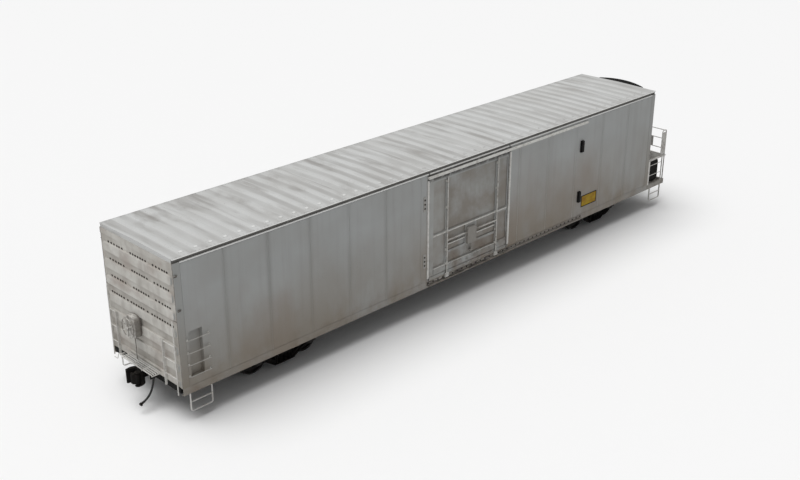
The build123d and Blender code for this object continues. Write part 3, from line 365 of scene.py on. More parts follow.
# Door tracks: the upper one pale enamel, the lower one caked with road dirt and worn by the rollers.
trackPaint = layeredFinish({
    "name": "wornEnamelTracks", "roughness": 0.6, "ground": "#d4d3cf",
    "stains": (
        *dulledPatches,
        {"color": "#7a746d", **everywhere, "amount": 0.95, "bands": ((2, 1.3, 1.1),)},
        {"color": "#3b3530", "size": 170, "stretch": (0.5, 1, 3), "detail": 5, "from": 0.42, "to": 0.56,
         "amount": 0.85, "bands": ((2, 1.3, 1.1), (0, 2.6, 1.5))},
        {"color": "#b5b2ac", "size": 130, "stretch": (0.5, 1, 3), "shift": (3, 0, 0), "detail": 4,
         "from": 0.56, "to": 0.66, "amount": 0.8, "bands": ((2, 1.3, 1.1), (0, 2.6, 1.5))},
    ),
    "reliefSize": 50, "reliefDetail": 3, "reliefDepth": 1.0,
})
# Underframe and machinery: bituminous black on steel, dull, with dust lying on what faces up.
fadedBlack = {"color": "#100f0e", "size": 180, "detail": 5, "from": 0.4, "to": 0.65, "amount": 0.8}
blackPaint = layeredFinish({
    "name": "bituminousBlack", "roughness": 0.7, "ior": 1.25, "ground": "#070706",
    "stains": (
        fadedBlack,
        {"color": "#1e1b19", "size": 200, "detail": 5, "from": 0.45, "to": 0.7, "amount": 0.5,
         "facings": ((2, 0.3, 0.95),)},
    ),
    "reliefSize": 60, "reliefDetail": 4, "reliefDepth": 1.0,
})
# End sills: the same black at the B end, enamelled with the deck at the A end.
sillPaint = layeredFinish({
    "name": "blackAndEnamelSills", "roughness": 0.7, "ior": 1.25, "ground": "#070706",
    "stains": (
        fadedBlack,
        {"color": "#a29f99", **everywhere, "amount": 1.0, "bands": ((0, 0, 0.1),)},
        {"color": "#6f6963", "size": 240, "stretch": (1, 1, 0.3), "detail": 5, "from": 0.36, "to": 0.72,
         "amount": 0.7, "bands": ((0, 0, 0.1),)},
    ),
    "reliefSize": 60, "reliefDetail": 4, "reliefDepth": 1.0,
})
# Trucks and couplers: sand-cast steel, never painted, black with oil and brake dust over a grainy skin.
castBlack = layeredFinish({
    "name": "sandCastSteel", "roughness": 0.8, "ior": 1.25, "ground": "#080706",
    "stains": (
        {"color": "#1b1714", "size": 110, "detail": 5, "from": 0.42, "to": 0.68, "amount": 0.8},
        {"color": "#2c241e", "size": 150, "detail": 6, "from": 0.54, "to": 0.74, "amount": 0.5},
        {"color": "#2b2722", "size": 160, "detail": 5, "from": 0.4, "to": 0.68, "amount": 0.5,
         "facings": ((2, 0.3, 0.95),)},
    ),
    "reliefSize": 14, "reliefDetail": 4, "reliefDepth": 1.2,
})
# Wheels and axles: forged steel, dark with scale and brake dust, a little brown showing through.
wheelSteel = layeredFinish({
    "name": "forgedWheelSteel", "roughness": 0.5, "metallic": 0.3, "ground": "#141210",
    "stains": (
        {"color": "#221c19", "size": 90, "detail": 5, "from": 0.4, "to": 0.68, "amount": 0.8},
        {"color": "#33271f", "size": 50, "detail": 4, "from": 0.55, "to": 0.7, "amount": 0.4},
    ),
    "reliefSize": 20, "reliefDetail": 4, "reliefDepth": 0.8,
})
# Air hose: braid under moulded rubber, dull black with a fine grain to it.
hoseRubber = layeredFinish({
    "name": "mouldedHoseRubber", "roughness": 0.55, "ior": 1.52, "ground": "#0a0a0a",
    "stains": (
        {"color": "#161515", "size": 30, "detail": 4, "from": 0.35, "to": 0.7, "amount": 0.8},
    ),
    "reliefSize": 6, "reliefDetail": 2, "reliefDepth": 0.4,
})
# Floor of the load space: extruded aluminium, pale and scuffed along the car, tarred black underneath.
floorMetal = layeredFinish({
    "name": "extrudedAluminiumFloor", "roughness": 0.4, "metallic": 0.9, "ground": "#b9bbbd",
    "stains": (
        {"color": "#94969a", "size": 40, "stretch": (0.1, 1, 1), "from": 0.35, "to": 0.7, "amount": 0.8},
        {"color": "#1d1b19", **everywhere, "amount": 0.97, "facings": ((2, -0.3, -0.8),)},
        {"color": "#312c28", "size": 300, "detail": 5, "from": 0.4, "to": 0.75, "amount": 0.7,
         "facings": ((2, -0.3, -0.8),)},
    ),
    "reliefSize": 50, "reliefDetail": 2, "reliefDepth": 0.5,
})
# Small bolts and weld beads: bare steel gone to dark brown rust.
rustyBolt = layeredFinish({
    "name": "rustedBoltSteel", "roughness": 0.8, "ground": "#1e1a17",
    "stains": (
        {"color": "#3a2b21", "size": 40, "detail": 4, "from": 0.4, "to": 0.65, "amount": 0.8},
    ),
    "reliefSize": 8, "reliefDetail": 3, "reliefDepth": 0.5,
})
# Placard face: baked yellow enamel on sheet, sun-faded to orange in patches.
placardYellow = layeredFinish({
    "name": "bakedYellowEnamel", "roughness": 0.6, "ior": 1.3, "ground": "#a08414",
    "stains": (
        {"color": "#87600e", "size": 220, "stretch": (0.6, 1, 1.6), "detail": 4, "from": 0.42, "to": 0.62,
         "amount": 0.8},
        {"color": "#553310", "size": 50, "detail": 4, "from": 0.62, "to": 0.74, "amount": 0.6},
    ),
    "reliefSize": 80, "reliefDetail": 2, "reliefDepth": 0.5,
})

# what each carried-over node is finished in; the first match counts
finishOf = (
    ("roof", roofPaint), ("end_wall_b", endPaintB), ("end_wall_a", endPaintA), ("floor", floorMetal),
    ("wheelset", wheelSteel), ("truck", castBlack), ("coupler", castBlack), ("knuckle", castBlack),
    ("glad_hand", castBlack), ("air_hose", hoseRubber),
    ("centre_sill", blackPaint), ("body_bolsters", blackPaint), ("crossbearers", blackPaint),
    ("end_sills", sillPaint), ("brake_", blackPaint), ("fuel_tank", blackPaint),
    ("refrigeration_unit", blackPaint),
    ("door_stops", blackPaint), ("door_locks", gearPaint), ("door_tracks", trackPaint),
    ("door_posts", fittingPaint), ("plug_door", doorPaint), ("door_", doorPaint),
    ("platform_b", fittingPaint), ("handbrake", handBrakePaint), ("ladders", fittingPaint),
    ("stirrup", fittingPaint), ("cut_levers", fittingPaint), ("walkway", gearPaint),
    ("handrails", gearPaint), ("side_wall_right_a", sidePaintA), ("side_wall_left_a", sidePaintA),
    ("", sidePaintB),
)
for name, node in nodes.items():
    finish = next(material for start, material in finishOf if name.startswith(start))
    node.data.materials.clear()
    node.data.materials.append(finish)
print("finishes on", len(nodes), "nodes")


def stitchRings(rings, ends="capped"):
    # points and faces of a skin over rings of equally many points, its ends capped, joined or open
    count = len(rings[0])
    total = count * len(rings)
    points = [point for ring in rings for point in ring]
    faces = []
    for start in range(0, total if ends == "joined" else total - count, count):
        for j in range(count):
            a, b = start + j, start + (j + 1) % count
            faces.append((a, b, (b + count) % total, (a + count) % total))
    if ends == "capped":
        faces += [tuple(range(count)), tuple(range(total - count, total))]
    return points, faces


def ringBand(centre, ahead, innerRadius, outerRadius, width, sides=20):
    # a flat band round an axis
    aside = ahead.orthogonal().normalized()
    across = ahead.cross(aside)
    section = (
        (innerRadius, -width / 2), (outerRadius, -width / 2), (outerRadius, width / 2),
        (innerRadius, width / 2),
    )
    rings = []
    for i in range(sides):
        turn = 2 * math.pi * i / sides
        outward = aside * math.cos(turn) + across * math.sin(turn)
        rings.append([centre + outward * radius + ahead * along for radius, along in section])
    return stitchRings(rings, "joined")


def meshFrom(name, parts, material):
    # one mesh from several lists of points and faces, all made to face outwards
    points, faces = [], []
    for partPoints, partFaces in parts:
        faces += [[index + len(points) for index in face] for face in partFaces]
        points += partPoints
    mesh = bpy.data.meshes.new(name)
    mesh.from_pydata(points, [], faces)
    outward = bmesh.new()
    outward.from_mesh(mesh)
    bmesh.ops.recalc_face_normals(outward, faces=outward.faces)
    outward.to_mesh(mesh)
    outward.free()
    mesh.materials.append(material)
    return mesh


# air hose at the B end, hung from the angle cock to the glad hand
hose = {
    "diameter": 0.055, "length": 0.73,
    "clampIn": 0.03, "clampWidth": 0.022, "clampProud": 0.005, "clampBite": 0.001,
    "route": (
        (-10.662, -0.370, 0.880), (-10.682, -0.370, 0.763), (-10.713, -0.371, 0.647),
        (-10.768, -0.373, 0.514), (-10.857, -0.377, 0.402), (-10.955, -0.380, 0.333),
        (-11.045, -0.383, 0.298),
    ),
}
hoseCurve = bpy.data.curves.new("airHoseSkin", "CURVE")
hoseCurve.dimensions = "3D"
hoseCurve.resolution_u = 16
hoseLine = hoseCurve.splines.new("NURBS")
hoseLine.points.add(len(hose["route"]) - 1)
for point, place in zip(hoseLine.points, hose["route"]):
    point.co = (*place, 1)
hoseLine.order_u = 3
hoseLine.use_endpoint_u = True
bareHose = bpy.data.objects.new("bareHose", hoseCurve.copy())       # its centre line, for the clamps
collection.objects.link(bareHose)
bareLine = bpy.data.meshes.new_from_object(bareHose.evaluated_get(bpy.context.evaluated_depsgraph_get()))
linePoints = [vertex.co.copy() for vertex in bareLine.vertices]
bpy.data.objects.remove(bareHose)
hoseCurve.bevel_depth = hose["diameter"] / 2
hoseCurve.bevel_resolution = 6
hoseCurve.use_fill_caps = True
hoseCurve.materials.append(hoseRubber)
airHose = newPiece("airHoseSkin", hoseCurve, "carbody")
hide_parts("air_hose_b")
clamps = []
for first, second in ((linePoints[0], linePoints[1]), (linePoints[-1], linePoints[-2])):
    inward = (second - first).normalized()
    clamps.append(ringBand(
        first + inward * hose["clampIn"], inward, hose["diameter"] / 2 - hose["clampBite"],
        hose["diameter"] / 2 + hose["clampProud"], hose["clampWidth"],
    ))
hoseClamps = newPiece("hoseClamps", meshFrom("hoseClamps", clamps, wheelSteel), "carbody")
print("hose hung")


def newTree(name, inputs):
    # a geometry tree with named inputs, and the sockets they come in by
    tree = bpy.data.node_groups.new(name, "GeometryNodeTree")
    for label, kind in inputs.items():
        tree.interface.new_socket(label, in_out="INPUT", socket_type="NodeSocket" + kind)
    tree.interface.new_socket("Geometry", in_out="OUTPUT", socket_type="NodeSocketGeometry")
    return tree, addNode(tree, "NodeGroupInput").outputs


def finishTree(tree, geometry, material):
    # every tree ends in real geometry with its finish on it
    realized = addNode(tree, "GeometryNodeRealizeInstances", links={"Geometry": geometry})
    finished = addNode(
        tree, "GeometryNodeSetMaterial", links={"Geometry": realized, "Material": material},
    )
    addNode(tree, "NodeGroupOutput", links={"Geometry": finished})


def growPiece(name, points, facings, edges, tree, values, body):
    # runs a tree on seed points or rows, each with the way its fitting faces, and keeps a plain mesh
    seed = bpy.data.meshes.new(name + "Seed")
    seed.from_pydata(points, edges, [])
    facing = seed.attributes.new("facing", "FLOAT_VECTOR", "POINT")
    for index, direction in enumerate(facings):
        facing.data[index].vector = direction
    holder = bpy.data.objects.new(name + "Seed", seed)
    collection.objects.link(holder)
    modifier = holder.modifiers.new("grow", "NODES")
    modifier.node_group = tree
    for item in tree.interface.items_tree:
        if item.in_out == "INPUT" and item.name in values:
            modifier[item.identifier] = values[item.name]
    evaluated = holder.evaluated_get(bpy.context.evaluated_depsgraph_get())
    mesh = bpy.data.meshes.new_from_object(evaluated)
    mesh.name = name
    if "facing" in mesh.attributes:
        mesh.attributes.remove(mesh.attributes["facing"])
    holder.modifiers.clear()
    bpy.data.objects.remove(holder)
    print(name, len(mesh.polygons), "faces")
    return newPiece(name, mesh, body)


# heads at an even pitch along rows: each a low cone on a washer, drawn out along its row if asked
headTree, headIn = newTree("headsAlongRows", {
    "Geometry": "Geometry", "Pitch": "Float", "Radius": "Float", "Crown Radius": "Float",
    "Height": "Float", "Washer Radius": "Float", "Washer Height": "Float", "Stretch": "Vector",
    "Finish": "Material",
})
rows = addNode(headTree, "GeometryNodeMeshToCurve", links={"Mesh": headIn["Geometry"]})
spaced = addNode(
    headTree, "GeometryNodeResampleCurve", {"mode": "LENGTH"}, {"Curve": rows, "Length": headIn["Pitch"]},
)
head = addNode(headTree, "GeometryNodeMeshCone", {"Vertices": 8}, {
    "Radius Bottom": headIn["Radius"], "Radius Top": headIn["Crown Radius"], "Depth": headIn["Height"],
})
washer = addNode(headTree, "GeometryNodeMeshCone", {"Vertices": 8}, {
    "Radius Bottom": headIn["Washer Radius"], "Radius Top": headIn["Washer Radius"],
    "Depth": headIn["Washer Height"],
})
fastener = addNode(headTree, "GeometryNodeJoinGeometry", links={"Geometry": washer})
headTree.links.new(head.outputs["Mesh"], fastener.inputs["Geometry"])
facing = addNode(
    headTree, "GeometryNodeInputNamedAttribute", {"data_type": "FLOAT_VECTOR", "Name": "facing"},
)
turned = addNode(headTree, "FunctionNodeAlignRotationToVector", {"axis": "Z"}, {"Vector": facing})
tangent = addNode(headTree, "GeometryNodeInputTangent")
alongRow = addNode(
    headTree, "FunctionNodeAlignRotationToVector", {"axis": "X", "pivot_axis": "Z"},
    {"Rotation": turned, "Vector": tangent},
)
placed = addNode(headTree, "GeometryNodeInstanceOnPoints", links={
    "Points": spaced, "Instance": fastener, "Rotation": alongRow, "Scale": headIn["Stretch"],
})
finishTree(headTree, placed, headIn["Finish"])


# crown and washer widths, and the washer's height, as parts of the head's own
headShape = {"crown": 0.6, "washer": 1.15, "washerHeight": 0.3}


def headRows(name, rowTable, look, finish):
    # each row: start, end, and the way its heads face
    points, facings, edges = [], [], []
    for start, end, direction in rowTable:
        edges.append((len(points), len(points) + 1))
        points += [start, end]
        facings += [direction, direction]
    return growPiece(name, points, facings, edges, headTree, {
        "Pitch": look["pitch"], "Radius": look["radius"],
        "Crown Radius": headShape["crown"] * look["radius"], "Height": look["height"],
        "Washer Radius": look.get("washer", headShape["washer"] * look["radius"]),
        "Washer Height": headShape["washerHeight"] * look["height"],
        "Stretch": look.get("stretch", (1, 1, 1)), "Finish": finish,
    }, "carbody")


# button rivets that hold the side sheets to their posts and to the sill
sideRivets = {
    "pitch": 0.1, "radius": 0.009, "height": 0.005, "fromSeam": 0.045, "foot": 1.12, "top": 4.28,
    "edgeRows": (1.052, 4.345), "spans": ((-10.36, -2.18), (1.76, 9.29)),
}
seams = [first + pitch * i for first, pitch, count in car["seams"].values() for i in range(count)]
rowTable = []
for side in (-1, 1):
    y = side * car["halfWidth"]
    for seam in seams:
        for x in (seam - sideRivets["fromSeam"], seam + sideRivets["fromSeam"]):
            rowTable.append(((x, y, sideRivets["foot"]), (x, y, sideRivets["top"]), (0, side, 0)))
    for start, end in sideRivets["spans"]:
        for z in sideRivets["edgeRows"]:
            rowTable.append(((start, y, z), (end, y, z), (0, side, 0)))
headRows("sideSheetRivets", rowTable, sideRivets, sidePaintB)

# screws through the roof sheets along both eaves
eaveScrews = {"pitch": 0.109, "radius": 0.013, "height": 0.01, "inset": 0.05, "endGap": 0.05}
rowTable = []
for side in (-1, 1):
    y = side * (car["halfWidth"] - eaveScrews["inset"])
    z = car["eave"] + car["crown"] * eaveScrews["inset"] / car["halfWidth"]
    start, end = car["bodyStart"] + eaveScrews["endGap"], car["bodyEnd"] - eaveScrews["endGap"]
    rowTable.append(((start, y, z), (end, y, z), (0, 0, 1)))
headRows("eaveScrews", rowTable, eaveScrews, roofPaint)

# rivets down the corners of both ends
cornerRivets = {"pitch": 0.11, "radius": 0.012, "height": 0.009, "inset": 0.028, "foot": 1.08, "top": 4.36}
rowTable = []
for side in (-1, 1):
    y = side * (car["halfWidth"] - cornerRivets["inset"])
    for x, ahead in ((car["bodyStart"], -1), (car["bodyEnd"], 1)):
        rowTable.append(((x, y, cornerRivets["foot"]), (x, y, cornerRivets["top"]), (ahead, 0, 0)))
headRows("cornerRivets", rowTable, cornerRivets, endPaintB)

# weld beads, dark with rust, in groups along the top of each pressed rib of the B end, and as coarse
# as they need to be to show
weldBeads = {
    "pitch": 0.1, "radius": 0.028, "height": 0.012, "washer": 0.031, "stretch": (1.15, 1, 1),
    # levels, and the groups of beads across each of them
    "runs": (
        ((4.108, 3.635, 3.162), (
            (0.85, 1.25), (0.62, 0.75), (-0.2, 0.24), (-0.42, -0.3), (-1.02, -0.74), (-1.34, -1.14),
        )),
        ((2.689,), (
            (0.9, 1.32), (0.6, 0.78), (-0.02, 0.44), (-0.3, -0.12), (-0.95, -0.5), (-1.4, -1.06),
        )),
    ),
}
rowTable = [
    ((car["bodyStart"], y0, level), (car["bodyStart"], y1, level), (-1, 0, 0))
    for levels, groups in weldBeads["runs"] for level in levels for y0, y1 in groups
]
headRows("endSheetWelds", rowTable, weldBeads, rustyBolt)

# bolts on the brackets beside the door, and along the lower track
doorBolts = {
    "pitch": 0.13, "radius": 0.022, "height": 0.02, "washer": 0.031, "bracketX": -2.09,
    "bracketLevels": (1.715, 3.515), "bracketReach": 0.13, "bracketProud": 0.014,
    "trackLevel": 0.955, "trackProud": 0.012, "trackSpan": (-1.93, 5.5), "trackPitch": 0.21,
}
rowTable = []
for side in (-1, 1):
    face = side * (car["halfWidth"] + doorBolts["bracketProud"])
    for level in doorBolts["bracketLevels"]:
        rowTable.append((
            (doorBolts["bracketX"], face, level - doorBolts["bracketReach"]),
            (doorBolts["bracketX"], face, level + doorBolts["bracketReach"]), (0, side, 0),
        ))
headRows("bracketBolts", rowTable, doorBolts, rustyBolt)
rowTable = []
for side in (-1, 1):
    face = side * (car["halfWidth"] + doorBolts["trackProud"])
    start, end = doorBolts["trackSpan"]
    rowTable.append(((start, face, doorBolts["trackLevel"]), (end, face, doorBolts["trackLevel"]),
                     (0, side, 0)))
headRows("trackBolts", rowTable, {**doorBolts, "pitch": doorBolts["trackPitch"]}, rustyBolt)

# rivets round the leaf of each plug door
leafRivets = {"pitch": 0.11, "radius": 0.011, "height": 0.008, "inset": 0.06}
left, right = car["doorStart"] + leafRivets["inset"], car["doorEnd"] - leafRivets["inset"]
foot, top = car["doorFoot"] + leafRivets["inset"], car["doorTop"] - leafRivets["inset"]
rowTable = []
for side in (-1, 1):
    y = side * (car["halfWidth"] - car["leafInset"])
    for x0, z0, x1, z1 in (
        (left, foot, left, top), (right, foot, right, top),
        (left + leafRivets["pitch"], top, right - leafRivets["pitch"], top),    # clear of the corners
    ):
        rowTable.append(((x0, y, z0), (x1, y, z1), (0, side, 0)))
headRows("doorLeafRivets", rowTable, leafRivets, doorPaint)
print("rivets and bolts set")

# coil springs of the trucks, in place of plain cylinders
springLook = {
    "coilRadius": 0.050, "wireRadius": 0.012, "turns": 4.5, "steps": 68, "wireSides": 7,
    "columns": (-0.136, 0, 0.136), "rows": (-0.068, 0.068), "journalY": 1.003,
}
springTree, springIn = newTree("coilSprings", {
    "Geometry": "Geometry", "Coil Radius": "Float", "Wire Radius": "Float", "Height": "Float",
    "Turns": "Float", "Steps": "Int", "Wire Sides": "Int", "Finish": "Material",
})
helix = addNode(springTree, "GeometryNodeCurveSpiral", links={
    "Resolution": springIn["Steps"], "Rotations": springIn["Turns"],
    "Start Radius": springIn["Coil Radius"], "End Radius": springIn["Coil Radius"],
    "Height": springIn["Height"],
})
wire = addNode(springTree, "GeometryNodeCurvePrimitiveCircle", links={
    "Resolution": springIn["Wire Sides"], "Radius": springIn["Wire Radius"],
})
coil = addNode(
    springTree, "GeometryNodeCurveToMesh", {"Fill Caps": True}, {"Curve": helix, "Profile Curve": wire},
)
stood = addNode(
    springTree, "GeometryNodeInstanceOnPoints", links={"Points": springIn["Geometry"], "Instance": coil},
)
finishTree(springTree, stood, springIn["Finish"])
for truck, centre in car["trucks"].items():
    low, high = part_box(f"truck_{truck}_springs")
    stands = [
        (centre + column, side * springLook["journalY"] + row, low[2] + springLook["wireRadius"])
        for side in (-1, 1) for column in springLook["columns"] for row in springLook["rows"]
    ]
    springs = growPiece(
        f"truckSprings_{truck}", stands, [(0, 0, 1)] * len(stands), [], springTree,
        {
            "Coil Radius": springLook["coilRadius"], "Wire Radius": springLook["wireRadius"],
            "Height": high[2] - low[2] - 2 * springLook["wireRadius"], "Turns": springLook["turns"],
            "Steps": springLook["steps"], "Wire Sides": springLook["wireSides"], "Finish": castBlack,
        },
        f"truck_{truck}",
    )
    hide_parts(f"truck_{truck}_springs")
print("springs wound")

# cap screws on the bearing ends, which turn with their axle
capScrews = {"count": 3, "ringRadius": 0.042, "radius": 0.015, "height": 0.014, "endY": 1.125}
capTree, capIn = newTree("capScrewRings", {
    "Geometry": "Geometry", "Count": "Int", "Ring Radius": "Float", "Radius": "Float",
    "Height": "Float", "Finish": "Material",
})
ring = addNode(
    capTree, "GeometryNodeMeshCircle", links={"Vertices": capIn["Count"], "Radius": capIn["Ring Radius"]},
)
capHead = addNode(capTree, "GeometryNodeMeshCone", {"Vertices": 6}, {
    "Radius Bottom": capIn["Radius"], "Radius Top": capIn["Radius"], "Depth": capIn["Height"],
})
headRing = addNode(capTree, "GeometryNodeInstanceOnPoints", links={"Points": ring, "Instance": capHead})
facing = addNode(
    capTree, "GeometryNodeInputNamedAttribute", {"data_type": "FLOAT_VECTOR", "Name": "facing"},
)
turned = addNode(capTree, "FunctionNodeAlignRotationToVector", {"axis": "Z"}, {"Vector": facing})
onEnds = addNode(capTree, "GeometryNodeInstanceOnPoints", links={
    "Points": capIn["Geometry"], "Instance": headRing, "Rotation": turned,
})
finishTree(capTree, onEnds, capIn["Finish"])
for truck, centre in car["trucks"].items():
    for number, end in ((1, -1), (2, 1)):
        axleX = centre + end * car["axleReach"]
        ends = [(axleX, side * capScrews["endY"], car["axleHeight"]) for side in (-1, 1)]
        growPiece(
            f"bearingScrews_{truck}{number}", ends, [(0, -1, 0), (0, 1, 0)], [], capTree,
            {
                "Count": capScrews["count"], "Ring Radius": capScrews["ringRadius"],
                "Radius": capScrews["radius"], "Height": capScrews["height"], "Finish": wheelSteel,
            },
            f"wheelset_{truck}{number}",
        )
print("bearing screws set")

# louvre blades round the refrigeration unit's bowed front, with a band above and below them, and two
# smooth access panels under them
unitFront = {
    "centreX": 7.3756, "radius": 2.546, "halfAngle": 17.2, "bladeFoot": 3.12, "bladeTop": 4.30,
    "bladeCount": 18, "bladeDepth": 0.03, "bladeHeight": 0.018, "bandHeight": 0.07,
    "panelMiddle": 2.55, "panelHeight": 0.95, "panelDepth": 0.012,
    "panelGap": 0.02,                   # radians between the two panels
}
bowTree, bowIn = newTree("bowedBars", {
    "Geometry": "Geometry", "Radius": "Float", "Start Angle": "Float", "Sweep Angle": "Float",
    "Depth": "Float", "Height": "Float", "Finish": "Material",
})
bow = addNode(bowTree, "GeometryNodeCurveArc", {"mode": "RADIUS", "Resolution": 20}, {
    "Radius": bowIn["Radius"], "Start Angle": bowIn["Start Angle"], "Sweep Angle": bowIn["Sweep Angle"],
})
section = addNode(bowTree, "GeometryNodeCurvePrimitiveQuadrilateral", links={
    "Width": bowIn["Depth"], "Height": bowIn["Height"],
})
bar = addNode(
    bowTree, "GeometryNodeCurveToMesh", {"Fill Caps": True}, {"Curve": bow, "Profile Curve": section},
)
stacked = addNode(
    bowTree, "GeometryNodeInstanceOnPoints", links={"Points": bowIn["Geometry"], "Instance": bar},
)
finishTree(bowTree, stacked, bowIn["Finish"])
halfAngle = math.radians(unitFront["halfAngle"])
step = (unitFront["bladeTop"] - unitFront["bladeFoot"]) / (unitFront["bladeCount"] - 1)
# name, levels, depth, height, start angle, sweep
barTable = [
    ("unitLouvres", [unitFront["bladeFoot"] + i * step for i in range(unitFront["bladeCount"])],
     unitFront["bladeDepth"], unitFront["bladeHeight"], -halfAngle, 2 * halfAngle),
    ("unitBands", [unitFront["bladeFoot"] - unitFront["bandHeight"],
                   unitFront["bladeTop"] + unitFront["bandHeight"]],
     unitFront["bladeDepth"], unitFront["bandHeight"], -halfAngle, 2 * halfAngle),
]
for label, start in (("unitPanelRight", -halfAngle), ("unitPanelLeft", unitFront["panelGap"])):
    barTable.append((
        label, [unitFront["panelMiddle"]], unitFront["panelDepth"], unitFront["panelHeight"], start,
        halfAngle - unitFront["panelGap"],
    ))
for name, levels, depth, height, start, sweep in barTable:
    growPiece(
        name, [(unitFront["centreX"], 0, level) for level in levels], [(1, 0, 0)] * len(levels), [],
        bowTree,
        {
            "Radius": unitFront["radius"] + depth / 2, "Start Angle": start, "Sweep Angle": sweep,
            "Depth": depth, "Height": height, "Finish": blackPaint,
        },
        "carbody",
    )

# weather cover over the unit, bowed as its front is
cover = {
    "foot": 4.425, "shoulder": 4.52, "top": 4.533, "bevel": 0.013, "fall": 0.045, "back": 9.535,
    "halfWidth": 0.935, "radius": 2.543, "steps": 24,
}


def coverRing(inset, level):
    # the cover's outline at one level, falling to both sides: its back edge, then round the bow
    radius, halfWidth = cover["radius"] - inset, cover["halfWidth"] - inset
    sides = [halfWidth * (2 * i / cover["steps"] - 1) for i in range(cover["steps"] + 1)]
    heights = [level - cover["fall"] * (y / halfWidth) ** 2 for y in sides]
    back = [(cover["back"] + inset, y, z) for y, z in zip(sides, heights)]
    bow = [
        (unitFront["centreX"] + math.sqrt(radius ** 2 - y ** 2), y, z) for y, z in zip(sides, heights)
    ]
    return back[::-1] + bow


coverRings = [
    coverRing(0, cover["foot"]), coverRing(0, cover["shoulder"]),
    coverRing(cover["bevel"], cover["top"]),
]
points, faces = stitchRings(coverRings, "open")
ringLength = len(coverRings[0])
for first in (0, 2 * ringLength):
    for j in range(cover["steps"]):
        # strips from the back edge to the bow close its foot and its top
        faces.append((
            first + j, first + j + 1, first + ringLength - 2 - j, first + ringLength - 1 - j,
        ))
newPiece("unitCover", meshFrom("unitCover", [(points, faces)], blackPaint), "carbody")
print("unit front fitted")


def framedPlate(x0, x1, z0, z1, face, side, steps):
    # a closed plate on a side wall, from steps of how far in from its edge and how far out it lies
    rings = []
    for inset, proud in steps:
        y = face + side * proud
        rings.append([
            (x0 + inset, y, z0 + inset), (x1 - inset, y, z0 + inset), (x1 - inset, y, z1 - inset),
            (x0 + inset, y, z1 - inset),
        ])
    return stitchRings(rings)


# blank placards: a yellow face in a black rolled frame
placard = {
    "x": (5.52, 6.37), "z": (1.265, 1.675), "frame": 0.028,
    # in from the edge, out from the wall
    "frameSteps": ((0, 0), (0, 0.0072), (0.004, 0.012), (0.024, 0.012), (0.028, 0.004)),
    "faceSteps": ((0, 0.001), (0, 0.005), (0.003, 0.006)),
}
frames, fields = [], []
for side in (-1, 1):
    face = side * car["halfWidth"]
    frames.append(framedPlate(*placard["x"], *placard["z"], face, side, placard["frameSteps"]))
    x0, x1 = placard["x"][0] + placard["frame"], placard["x"][1] - placard["frame"]
    z0, z1 = placard["z"][0] + placard["frame"], placard["z"][1] - placard["frame"]
    fields.append(framedPlate(x0, x1, z0, z1, face, side, placard["faceSteps"]))
newPiece("placardFrames", meshFrom("placardFrames", frames, blackPaint), "carbody")
newPiece("placardFaces", meshFrom("placardFaces", fields, placardYellow), "carbody")
print("placards hung")


def angleBars(name, look, inset, finish):
    # angles lying along both sides, their flats on top
    wide, deep, thick = look["proud"], look["depth"], look["thickness"]
    section = ((0, 0), (wide, 0), (wide, -thick), (thick, -thick), (thick, -deep), (0, -deep))
    bars = []
    for side in (-1, 1):
        face = side * (car["halfWidth"] - inset)
        for x0, x1, level in look["runs"]:
            bars.append(stitchRings([
                [(x, face + side * out, level + up) for out, up in section] for x in (x0, x1)
            ]))
    newPiece(name, meshFrom(name, bars, finish), "carbody")


# stiffening angles across each plug door, between its lock rods
doorAngles = {
    "proud": 0.035, "depth": 0.045, "thickness": 0.008,
    # x from, x to, level
    "runs": (
        (-1.71, -1.18, 2.41), (-1.10, 1.04, 2.41), (1.14, 1.58, 2.41), (-1.10, -0.33, 1.99),
        (0.21, 1.04, 1.99), (-1.71, -1.18, 1.345), (-1.10, 1.04, 1.345),
    ),
}
angleBars("doorAngles", doorAngles, car["leafInset"], fittingPaint)
print("door angles welded on")

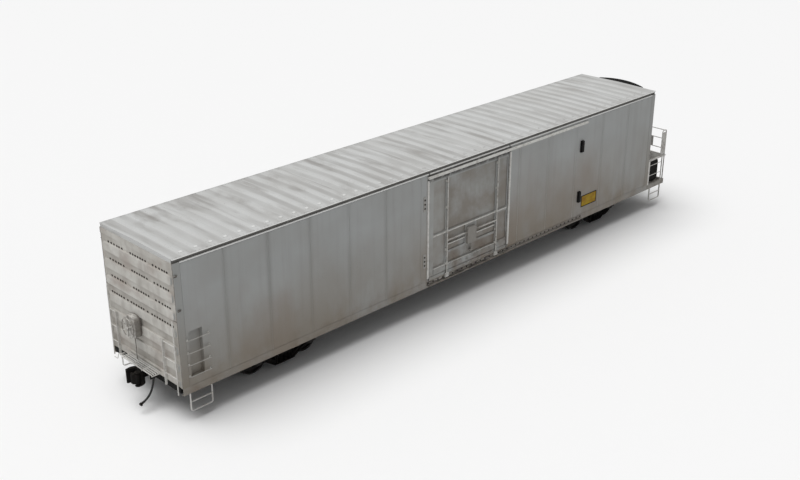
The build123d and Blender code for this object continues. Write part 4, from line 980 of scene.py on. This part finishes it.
# small lashing clips on the sides, close to the B end's corners
cornerClips = {
    "proud": 0.04, "depth": 0.055, "thickness": 0.01,
    # x from, x to, level
    "runs": ((-10.595, -10.505, 4.10), (-10.565, -10.475, 3.18)),
}
angleBars("cornerClips", cornerClips, 0, handBrakePaint)
print("corner clips welded on")

# pale floor, even sky and one soft sun high above
studio = {
    "floorSize": 1600, "floorLevel": -0.002, "floorColor": "#f2f2f2", "backdrop": "#f6f6f6",
    "sky": 0.32, "sunStrength": 2.42,
    "sunSpread": 50,                    # degrees across, for a soft edge to the shadow
    "sunFrom": (-0.24, 0.12, 1.0),
}
reach = studio["floorSize"] / 2
floorMesh = bpy.data.meshes.new("studioFloor")
floorCorners = ((-reach, -reach), (reach, -reach), (reach, reach), (-reach, reach))
floorMesh.from_pydata([(x, y, studio["floorLevel"]) for x, y in floorCorners], [], [(0, 1, 2, 3)])
floorMesh.materials.append(layeredFinish({
    "name": "matStudioFloor", "roughness": 0.9, "ground": studio["floorColor"],
    "stains": (),
    "reliefSize": 900, "reliefDetail": 1, "reliefDepth": 0.1,
}))
studioFloor = bpy.data.objects.new("studioFloor", floorMesh)
collection.objects.link(studioFloor)

# the sky lights evenly, and past the floor's edge it looks as pale as the floor
world = bpy.data.worlds.new("studioWorld")
world.use_nodes = True
skyTree = world.node_tree
skyLight = skyTree.nodes["Background"]
skyLight.inputs["Color"].default_value = linearColor("#ffffff")
skyLight.inputs["Strength"].default_value = studio["sky"]
skySeen = addNode(skyTree, "ShaderNodeBackground", {"Color": linearColor(studio["backdrop"])})
rays = addNode(skyTree, "ShaderNodeLightPath")
skyMix = addNode(
    skyTree, "ShaderNodeMixShader", links={0: rays.outputs["Is Camera Ray"], 1: skyLight, 2: skySeen},
)
skyTree.links.new(skyMix.outputs["Shader"], skyTree.nodes["World Output"].inputs["Surface"])
bpy.context.scene.world = world
sun = bpy.data.lights.new("softSun", "SUN")
sun.energy = studio["sunStrength"]
sun.angle = math.radians(studio["sunSpread"])
sunObject = bpy.data.objects.new("softSun", sun)
sunObject.rotation_euler = Vector(studio["sunFrom"]).to_track_quat("Z", "Y").to_euler()
collection.objects.link(sunObject)
bpy.context.scene.view_settings.view_transform = "Standard"
print("studio lit")
